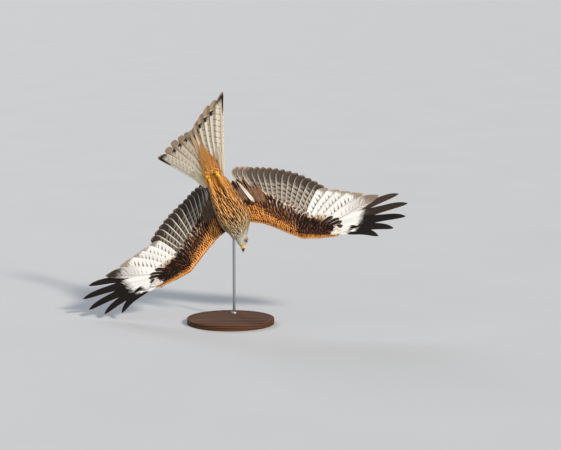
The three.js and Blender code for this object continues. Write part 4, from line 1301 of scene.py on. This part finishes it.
# Glass over a painted iris: the gloss is wet and the iris is finely rayed, about 50 rays round
glass, surface = new_material("glass_eye", {"Roughness": 0.08, "Coat Weight": 1.0, "Coat Roughness": 0.02})
gaze = add_node(glass, "UVMap", uv_map="Gaze")
radius = add_node(glass, "VectorMath", {0: gaze}, operation="LENGTH").outputs["Value"]
axes = add_node(glass, "SeparateXYZ", {"Vector": gaze})
turn = add_node(glass, "Math", {0: axes.outputs["Y"], 1: axes.outputs["X"]}, operation="ARCTAN2")
turn = add_node(glass, "Math", {0: turn, 1: 5.0}, operation="MULTIPLY")
ray = add_node(glass, "CombineXYZ", {"X": turn, "Y": radius})
ray = add_node(glass, "TexNoise", {"Vector": ray, "Scale": 1.6, "Detail": 3.0})
iris = add_node(glass, "Mix", {
    "Factor": ray, "A": paint("#a87c36"), "B": paint("#dcc07a")}, data_type="RGBA")
pupil = add_node(glass, "MapRange", {"Value": radius, "From Min": 0.25, "From Max": 0.28})
iris = add_node(glass, "Mix", {"Factor": pupil, "A": paint("#050403"), "B": iris}, data_type="RGBA")
ring = add_node(glass, "MapRange", {"Value": radius, "From Min": 0.45, "From Max": 0.51})
iris = add_node(glass, "Mix", {"Factor": ring, "A": iris, "B": paint("#1d140d")}, data_type="RGBA")
join(glass, iris, surface.inputs["Base Color"])

# Bare skin of the lids: dark, finely creased every 0.6 mm
lid_skin, surface = new_material("bare_eyelid_skin", {"Roughness": 0.5})
place = add_node(lid_skin, "TexCoord").outputs["Object"]
crease = add_node(lid_skin, "TexNoise", {"Vector": place, "Scale": 1600.0, "Detail": 2.0})
tone = add_node(lid_skin, "Mix", {
    "Factor": crease, "A": paint("#17110d"), "B": paint("#4a4036")}, data_type="RGBA")
join(lid_skin, tone, surface.inputs["Base Color"])
relief = add_node(lid_skin, "Bump", {"Height": crease, "Strength": 0.6, "Distance": 0.0002})
join(lid_skin, relief, surface.inputs["Normal"])

EYE_RADIUS = 8.6
LID_PLACE = np.array([13, 24.1, 5])
for word, side in (("left", 1), ("right", -1)):
    bpy.ops.object.select_all(action="DESELECT")
    bpy.ops.mesh.primitive_uv_sphere_add(segments=48, ring_count=32, radius=EYE_RADIUS * 0.001)
    ball = named(f"glass_eye_{word}", "eye", f"eye_{word}")
    points = mesh_points(ball.data) * 1000
    off_axis = np.linalg.norm(points[:, :2], axis=1)
    front = points[:, 2] > 0
    gaze_map = np.where(front[:, None], points[:, :2], 9.0) * 0.1
    points[:, 2] += 0.5 * np.clip(1 - (off_axis / 5.4) ** 2, 0, 1) * front
    put_points(ball, carried(HEAD, (points[:, [0, 2, 1]] + EYE_PLACE) * [1, side, 1]))
    corner = np.empty(len(ball.data.loops), np.int32)
    ball.data.loops.foreach_get("vertex_index", corner)
    ball.data.uv_layers.new(name="Gaze").data.foreach_set("uv", gaze_map[corner].astype(np.float32).ravel())
    ball.data.materials.append(glass)

    bpy.ops.object.select_all(action="DESELECT")
    bpy.ops.mesh.primitive_torus_add(
        major_segments=56, minor_segments=16, major_radius=0.0057, minor_radius=0.0014)
    lids = named(f"eyelid_{word}", "horn")
    points = mesh_points(lids.data) * 1000
    # the lids are lower than long, drawn to a corner in front, and bent round the ball
    points[:, 1] *= 0.9
    points[:, 0] *= 1 + 0.1 * (points[:, 0] > 0) * (1 - np.clip(np.abs(points[:, 1]) / 8, 0, 1))
    points[:, 2] -= 0.03 * points[:, 0] ** 2
    put_points(lids, carried(HEAD, (points[:, [0, 2, 1]] + LID_PLACE) * [1, side, 1]))
    lids.data.materials.append(lid_skin)


# The bill.
# A hooked upper half over a shorter lower one, both of smooth dark horn, the lower one yellow at
# its root, with the yellow cere across the root of the upper and yellow lips along the mouth.
HEAD_FRONT = 33.4
BILL_LENGTH = 27
CERE = [
    [-0.05, 8.6, 4.1, -8.2], [0.08, 8.3, 4.2, -8.3], [0.2, 7.8, 3.6, -8.3], [0.31, 7.1, 2.7, -8.4],
    [0.345, 6.4, 2, -8.1]]
UPPER_BILL = [
    [0.3, 6.4, 2, -8.2], [0.42, 6.4, 1.8, -8.5], [0.6, 5.4, -0.8, -8.8], [0.8, 3.7, -5, -10.4],
    [0.92, 2.3, -9.2, -13.6], [0.98, 1.2, -12.6, -15.8], [1, 0.5, -14.4, -16.4]]
LOWER_BILL = [
    [-0.03, 6.8, -8.9, -13.8], [0.35, 5.6, -9.1, -13.4], [0.6, 4, -9.5, -12.6], [0.75, 1.6, -10.4, -11.7]]


def bill_piece(rows, count, narrow):
    """A smooth horn form: each section is an oval, narrower toward the ridge."""
    rows = smoothed(rows, count)
    turn = np.linspace(0, 2 * math.pi, 40, endpoint=False)
    x = np.broadcast_to(HEAD_FRONT + rows[:, :1] * BILL_LENGTH, (count, 40))
    z = (rows[:, 2:3] + rows[:, 3:]) / 2 + (rows[:, 2:3] - rows[:, 3:]) / 2 * np.sin(turn)
    y = rows[:, 1:2] * np.cos(turn) * (1 - narrow * np.clip(np.sin(turn), 0, 1) ** 2)
    return np.stack([x, y, z], -1)


# Horn: smooth and a little glossy, faintly clouded every 1.4 mm
horn, surface = new_material("polished_horn", {"Roughness": 0.32, "Coat Weight": 0.25})
place = add_node(horn, "TexCoord").outputs["Object"]
layer = add_node(horn, "TexNoise", {"Vector": place, "Scale": 700.0, "Detail": 3.0})
tone = add_node(horn, "Mix", {
    "Factor": layer, "A": paint("#14110f"), "B": paint("#3b3530")}, data_type="RGBA")
root = add_node(horn, "Attribute", attribute_name="root").outputs["Fac"]
tone = add_node(horn, "Mix", {"Factor": root, "A": tone, "B": paint("#e3ab2e")}, data_type="RGBA")
join(horn, tone, surface.inputs["Base Color"])
relief = add_node(horn, "Bump", {"Height": layer, "Strength": 0.25, "Distance": 0.0001})
join(horn, relief, surface.inputs["Normal"])

# Cere and lips: waxy yellow skin, faintly uneven over a few millimetres
wax, surface = new_material("waxy_yellow_skin", {
    "Roughness": 0.42, "Subsurface Weight": 0.1, "Subsurface Radius": (0.002, 0.001, 0.0005)})
place = add_node(wax, "TexCoord").outputs["Object"]
uneven = add_node(wax, "TexNoise", {"Vector": place, "Scale": 380.0, "Detail": 4.0})
tone = add_node(wax, "Mix", {
    "Factor": uneven, "A": paint("#d99a1c"), "B": paint("#f6cf45")}, data_type="RGBA")
# the nostril pits are painted dark as the shade inside them
nostril_shade = add_node(wax, "Attribute", attribute_name="nostril_shade").outputs["Fac"]
tone = add_node(wax, "Mix", {"Factor": nostril_shade, "A": tone, "B": paint("#2a1a0a")}, data_type="RGBA")
join(wax, tone, surface.inputs["Base Color"])
relief = add_node(wax, "Bump", {"Height": uneven, "Strength": 0.3, "Distance": 0.0002})
join(wax, relief, surface.inputs["Normal"])

rings = bill_piece(CERE, 40, 0.3)
# the nostril is an oval pit in each side of the cere, painted dark inside as the shade in the hole
pit = np.zeros(rings.shape[:2])
for side in (1, -1):
    away = ((rings[..., 0] - HEAD_FRONT - 5.0) / 1.9) ** 2 + ((rings[..., 2] + 1.4) / 1.1) ** 2
    pit += np.clip(1 - away, 0, 1) * (rings[..., 1] * side > 0)
rings[..., 1] -= np.sign(rings[..., 1]) * pit * 1.3
cere = tube("cere_skin", carried(HEAD, rings), wax)
store_colour(cere.data, "nostril_shade", np.repeat(step(pit.reshape(-1, 1), 0.1, 0.7), 3, axis=1))
active(cere)
named("cere_skin", "foot_skin", "cere")
for name, rows, narrow, node in (
        ("upper_bill_horn", UPPER_BILL, 0.35, "bill_upper"),
        ("lower_bill_horn", LOWER_BILL, 0.0, "bill_lower")):
    rings = bill_piece(rows, 44, narrow)
    half = tube(name, carried(HEAD, rings), horn)
    # the lower half is yellow at its root
    yellow = (1 - step(rings[..., 0].reshape(-1, 1) - HEAD_FRONT, 9, 13)) * (node == "bill_lower")
    store_colour(half.data, "root", np.repeat(yellow, 3, axis=1))
    active(half)
    named(name, "horn", node)
lips = []
for side in (1, -1):
    for height in (-7.9, -9.5):
        line = smoothed([[35, 7.6], [31, 9.9], [27.5, 12.2], [23.5, 15], [20.5, 16.6]], 30)
        line = np.column_stack([line[:, 0], side * line[:, 1], height + 0.05 * (35 - line[:, 0])])
        thinning = mixed(0.85, 0.3, np.linspace(0, 1, 30) ** 2)
        lips.append(tube("lip", swept(carried(HEAD, line), thinning, 12), wax))
active(*lips)
bpy.ops.object.join()
store_colour(lips[0].data, "nostril_shade", np.zeros((len(lips[0].data.vertices), 3)))
named("gape_lips", "foot_skin")


# The feet.
# A bare scaled shank and four toes drawn up in a loose fist on each leg, of tough yellow skin over
# bone, each toe ending in a curved claw of black horn.
SHANK = [[-166, 23.6, -40.2, 4.6], [-186, 22, -35, 4.4], [-200, 21, -31, 6]]
TOES = {
    "inner": [[0, 0, 0], [-10, -4, 2], [-19, -7, -1], [-23, -8, -7], [-20, -8, -12]],
    "middle": [[0, 0, 0], [-12, 0, 3], [-23, 0, 0], [-28, 0, -7], [-25, 0, -13]],
    "outer": [[0, 0, 0], [-10, 4, 2], [-18, 8, -1], [-22, 9, -7], [-19, 9, -12]],
    "hind": [[0, 0, 0], [-1, -4, -7], [-5, -5, -12]],
}
TOE_RADII = [4.4, 3.4, 3.2, 2.8, 2.3]
CLAW = smoothed([[-1.5, 0, 2.0], [4, 0.5, 1.8], [8, 2.6, 1.15], [10.5, 6, 0.3]], 24)
SHIELD = 2.4

# Scaled skin: bright yellow shields 2.4 mm long, duller grooves between them, a grain of 1 mm
scaled_skin, surface = new_material("scaled_foot_skin", {"Roughness": 0.45})
place = add_node(scaled_skin, "TexCoord").outputs["Object"]
grain = add_node(scaled_skin, "TexVoronoi", {"Vector": place, "Scale": 900.0})
tone = add_node(scaled_skin, "Mix", {
    "Factor": grain, "A": paint("#f7c81e"), "B": paint("#dc9d12")}, data_type="RGBA")
groove = add_node(scaled_skin, "Attribute", attribute_name="groove").outputs["Fac"]
tone = add_node(scaled_skin, "Mix", {"Factor": groove, "A": tone, "B": paint("#8a5a10")}, data_type="RGBA")
join(scaled_skin, tone, surface.inputs["Base Color"])
relief = add_node(scaled_skin, "Bump", {"Height": grain, "Strength": 0.4, "Distance": 0.0003})
join(scaled_skin, relief, surface.inputs["Normal"])

for word, side in (("left", 1), ("right", -1)):
    shank = smoothed(SHANK, 24)
    pieces = [tube("shank", swept(carried(BIRD, shank[:, :3] * [1, side, 1]), shank[:, 3], 24))]
    lines, claws = [carried(BIRD, shank[:, :3] * [1, side, 1])], []
    for toe in TOES.values():
        bones = np.array(toe, float) + SHANK[-1][:3]
        rows = smoothed(np.column_stack([bones * [1, side, 1], TOE_RADII[-len(toe):]]), 36)
        # each joint has a pad on the sole
        pads = 1 + 0.1 * np.cos(np.linspace(0, 2 * math.pi * (len(toe) - 1), 36))
        lines.append(carried(BIRD, rows[:, :3]))
        pieces.append(tube("toe", swept(lines[-1], rows[:, 3] * pads, 20)))
        end, before = carried(BIRD, bones[-1] * [1, side, 1]), carried(BIRD, bones[-2] * [1, side, 1])
        ahead = (end - before) / np.linalg.norm(end - before)
        sole = BIRD[:3, 0] - ahead * (BIRD[:3, 0] @ ahead)
        sole /= np.linalg.norm(sole)
        line = end + CLAW[:, :1] * ahead + CLAW[:, 1:2] * sole
        claws.append(tube("claw", swept(line, CLAW[:, 2], 18), horn))
    foot = pieces[0]
    active(*pieces)
    bpy.ops.object.join()
    apply_modifier(foot, "REMESH", mode="VOXEL", voxel_size=0.00055)
    apply_modifier(foot, "SMOOTH", factor=0.5, iterations=3)
    # shields across the top of the toes: each point is raised by its place along the nearest bone line
    along = KDTree(sum(len(line) for line in lines))
    marks = []
    for line in lines:
        run = np.concatenate([[0], np.cumsum(np.linalg.norm(np.diff(line, axis=0), axis=1))])
        for point, reached in zip(line, run):
            along.insert(point, len(marks))
            marks.append((reached, point))
    along.balance()
    points = mesh_points(foot.data) * 1000
    raised = np.zeros(len(points))
    way = np.zeros_like(points)
    for i, point in enumerate(points):
        _, mark, gap = along.find(point)
        way[i] = (point - marks[mark][1]) / max(gap, 0.5)
        nearest = marks[mark]
        step_along = marks[min(mark + 1, len(marks) - 1)][1] - nearest[1]
        reached = nearest[0] + (point - nearest[1]) @ step_along / max(np.linalg.norm(step_along), 1e-6)
        raised[i] = abs(math.sin(math.pi * reached / SHIELD)) ** 0.6
    put_points(foot, points + way * (0.22 * raised - 0.1)[:, None])
    store_colour(foot.data, "groove", np.repeat(step(1 - raised, 0.45, 1)[:, None] * 0.7, 3, axis=1))
    foot.data.materials.clear()
    foot.data.materials.append(scaled_skin)
    active(foot)
    named(f"foot_skin_{word}", "foot_skin", f"foot_{word}")
    active(*claws)
    bpy.ops.object.join()
    named(f"claws_{word}", "horn", *(f"claw_{word}_{toe}" for toe in TOES))


# The stand.
# A turned disc of dark hardwood, oiled and left matt, with a bent rod of brushed steel glued
# upright in it through a ferrule, and a short collar where the rod enters the bird's back.
BASE_RADIUS = 180
BASE_THICK = 22
ROD_SPOT = [12, 110]
ROD_RADIUS = 6
bpy.ops.object.select_all(action="DESELECT")
bpy.ops.mesh.primitive_cylinder_add(
    vertices=160, radius=BASE_RADIUS / 1000, depth=BASE_THICK / 1000, location=(0, 0, BASE_THICK / 2000))
bpy.ops.object.transform_apply(location=True)
disc = bpy.context.active_object
bpy.ops.object.mode_set(mode="EDIT")
bpy.ops.mesh.select_mode(type="FACE")
bpy.ops.mesh.select_all(action="DESELECT")
work = bmesh.from_edit_mesh(disc.data)
for face in work.faces:
    face.select = face.normal.z > 0.9
bmesh.update_edit_mesh(disc.data)
# a turned step 9 mm in from the rim, a fine groove 6 mm further in, and the flat top
for inset, drop in (
        (0.009, 0), (0.003, -0.002), (0.006, 0), (0.0008, -0.0009), (0.0008, 0.0009), (0.06, 0), (0.05, 0)):
    bpy.ops.mesh.inset(thickness=inset)
    bpy.ops.transform.translate(value=(0, 0, drop))
bpy.ops.object.mode_set(mode="OBJECT")
apply_modifier(disc, "BEVEL", width=0.0022, segments=4, limit_method="ANGLE", angle_limit=math.radians(50))
active(disc)
bpy.ops.object.shade_smooth_by_angle(angle=math.radians(35))
base = named("stand_base_wood", "base_wood", "stand_base")

# Hardwood: growth rings 10 mm apart run the length of the board, with pores 0.7 mm wide along it
wood, surface = new_material("oiled_dark_hardwood", {"Roughness": 0.7, "Specular IOR Level": 0.12})
place = add_node(wood, "TexCoord").outputs["Object"]
board = add_node(wood, "Mapping", {
    "Vector": place, "Location": (0.3, 0.08, -0.35), "Scale": (0.12, 1.0, 1.0)})
bend = add_node(wood, "TexNoise", {"Vector": board, "Scale": 14.0, "Detail": 3.0})
bend = add_node(wood, "VectorMath", {0: bend.outputs["Color"], "Scale": 0.016}, operation="SCALE")
bent = add_node(wood, "VectorMath", {0: board, 1: bend}, operation="ADD")
rings = add_node(wood, "TexWave", {
    "Vector": bent, "Scale": 32.0, "Distortion": 2.0, "Detail": 3.0, "Detail Scale": 2.0},
    wave_type="RINGS", rings_direction="X")
pores = add_node(wood, "Mapping", {"Vector": place, "Scale": (60.0, 1400.0, 1400.0)})
pores = add_node(wood, "TexNoise", {"Vector": pores, "Scale": 1.0, "Detail": 2.0})
tone = add_node(wood, "Mix", {
    "Factor": rings.outputs["Fac"], "A": paint("#3a2416"), "B": paint("#63412a")}, data_type="RGBA")
pore = add_node(wood, "MapRange", {"Value": pores, "From Min": 0.58, "From Max": 0.7, "To Max": 0.6})
tone = add_node(wood, "Mix", {"Factor": pore, "A": tone, "B": paint("#20130b")}, data_type="RGBA")
join(wood, tone, surface.inputs["Base Color"])
relief = add_node(wood, "Bump", {"Height": pores, "Strength": 0.15, "Distance": 0.0001})
join(wood, relief, surface.inputs["Normal"])
base.data.materials.append(wood)

# Brushed steel: fine lines along the rod, drawn 0.5 mm apart so that they show
steel, surface = new_material("brushed_steel", {"Metallic": 1.0})
place = add_node(steel, "TexCoord").outputs["Object"]
lines = add_node(steel, "Mapping", {"Vector": place, "Scale": (2000.0, 2000.0, 40.0)})
lines = add_node(steel, "TexNoise", {"Vector": lines, "Scale": 1.0, "Detail": 2.0})
tone = add_node(steel, "Mix", {
    "Factor": lines, "A": paint("#8f9294"), "B": paint("#c9cbcc")}, data_type="RGBA")
join(steel, tone, surface.inputs["Base Color"])
rough = add_node(steel, "MapRange", {"Value": lines, "To Min": 0.26, "To Max": 0.42})
join(steel, rough, surface.inputs["Roughness"])

# the rod leaves the base upright and bends into the line of the collar
COLLAR_CENTRE = [-62, 0, 50.85]
entry = carried(BIRD, [-62, 0, 51])
axis = BIRD[:3, 2]
foot_place = np.array([*ROD_SPOT, BASE_THICK - 2.0])
bend_low = np.array([*ROD_SPOT, entry[2] - 70])
between = mixed(foot_place, bend_low, 0.5)
shoulder = entry + axis * 70
top_end = entry + axis * 12
bpy.ops.object.select_all(action="DESELECT")
bpy.ops.curve.primitive_bezier_curve_add()
line = bpy.context.active_object
line.data.splines[0].bezier_points.add(1)
for knot, (at, before, after) in zip(line.data.splines[0].bezier_points, (
        (foot_place, foot_place, between), (bend_low, between, [*ROD_SPOT, shoulder[2]]),
        (top_end, shoulder, top_end + axis))):
    knot.handle_left_type = knot.handle_right_type = "FREE"
    knot.co = Vector(at) * 0.001
    knot.handle_left, knot.handle_right = Vector(before) * 0.001, Vector(after) * 0.001
line.data.dimensions = "3D"
line.data.resolution_u = 28
line.data.bevel_depth = ROD_RADIUS / 1000
line.data.bevel_resolution = 7
line.data.use_fill_caps = True
bpy.ops.object.convert(target="MESH")
bpy.ops.object.transform_apply(location=True, rotation=True, scale=True)
rod = named("stand_rod_steel", "rod_steel", "stand_rod")
facing_out(rod.data)
bpy.ops.object.shade_smooth_by_angle(angle=math.radians(40))
rod.data.materials.append(steel)

for name, low_radius, high_radius, depth, nodes in (
        ("stand_collar_steel", 0.015, 0.013, 0.0237, ("stand_collar",)),
        ("rod_ferrule_steel", 0.0125, 0.011, 0.007, ())):
    bpy.ops.object.select_all(action="DESELECT")
    bpy.ops.mesh.primitive_cone_add(vertices=64, radius1=low_radius, radius2=high_radius, depth=depth)
    piece = named(name, "rod_steel", *nodes)
    apply_modifier(
        piece, "BEVEL", width=0.0012, segments=4, limit_method="ANGLE", angle_limit=math.radians(40))
    points = mesh_points(piece.data) * 1000
    points = carried(BIRD, points + COLLAR_CENTRE) if nodes else points + [*ROD_SPOT, BASE_THICK + 1.4]
    piece.data.vertices.foreach_set("co", (points * 0.001).astype(np.float32).ravel())
    piece.data.update()
    active(piece)
    bpy.ops.object.shade_smooth_by_angle(angle=math.radians(35))
    piece.data.materials.append(steel)
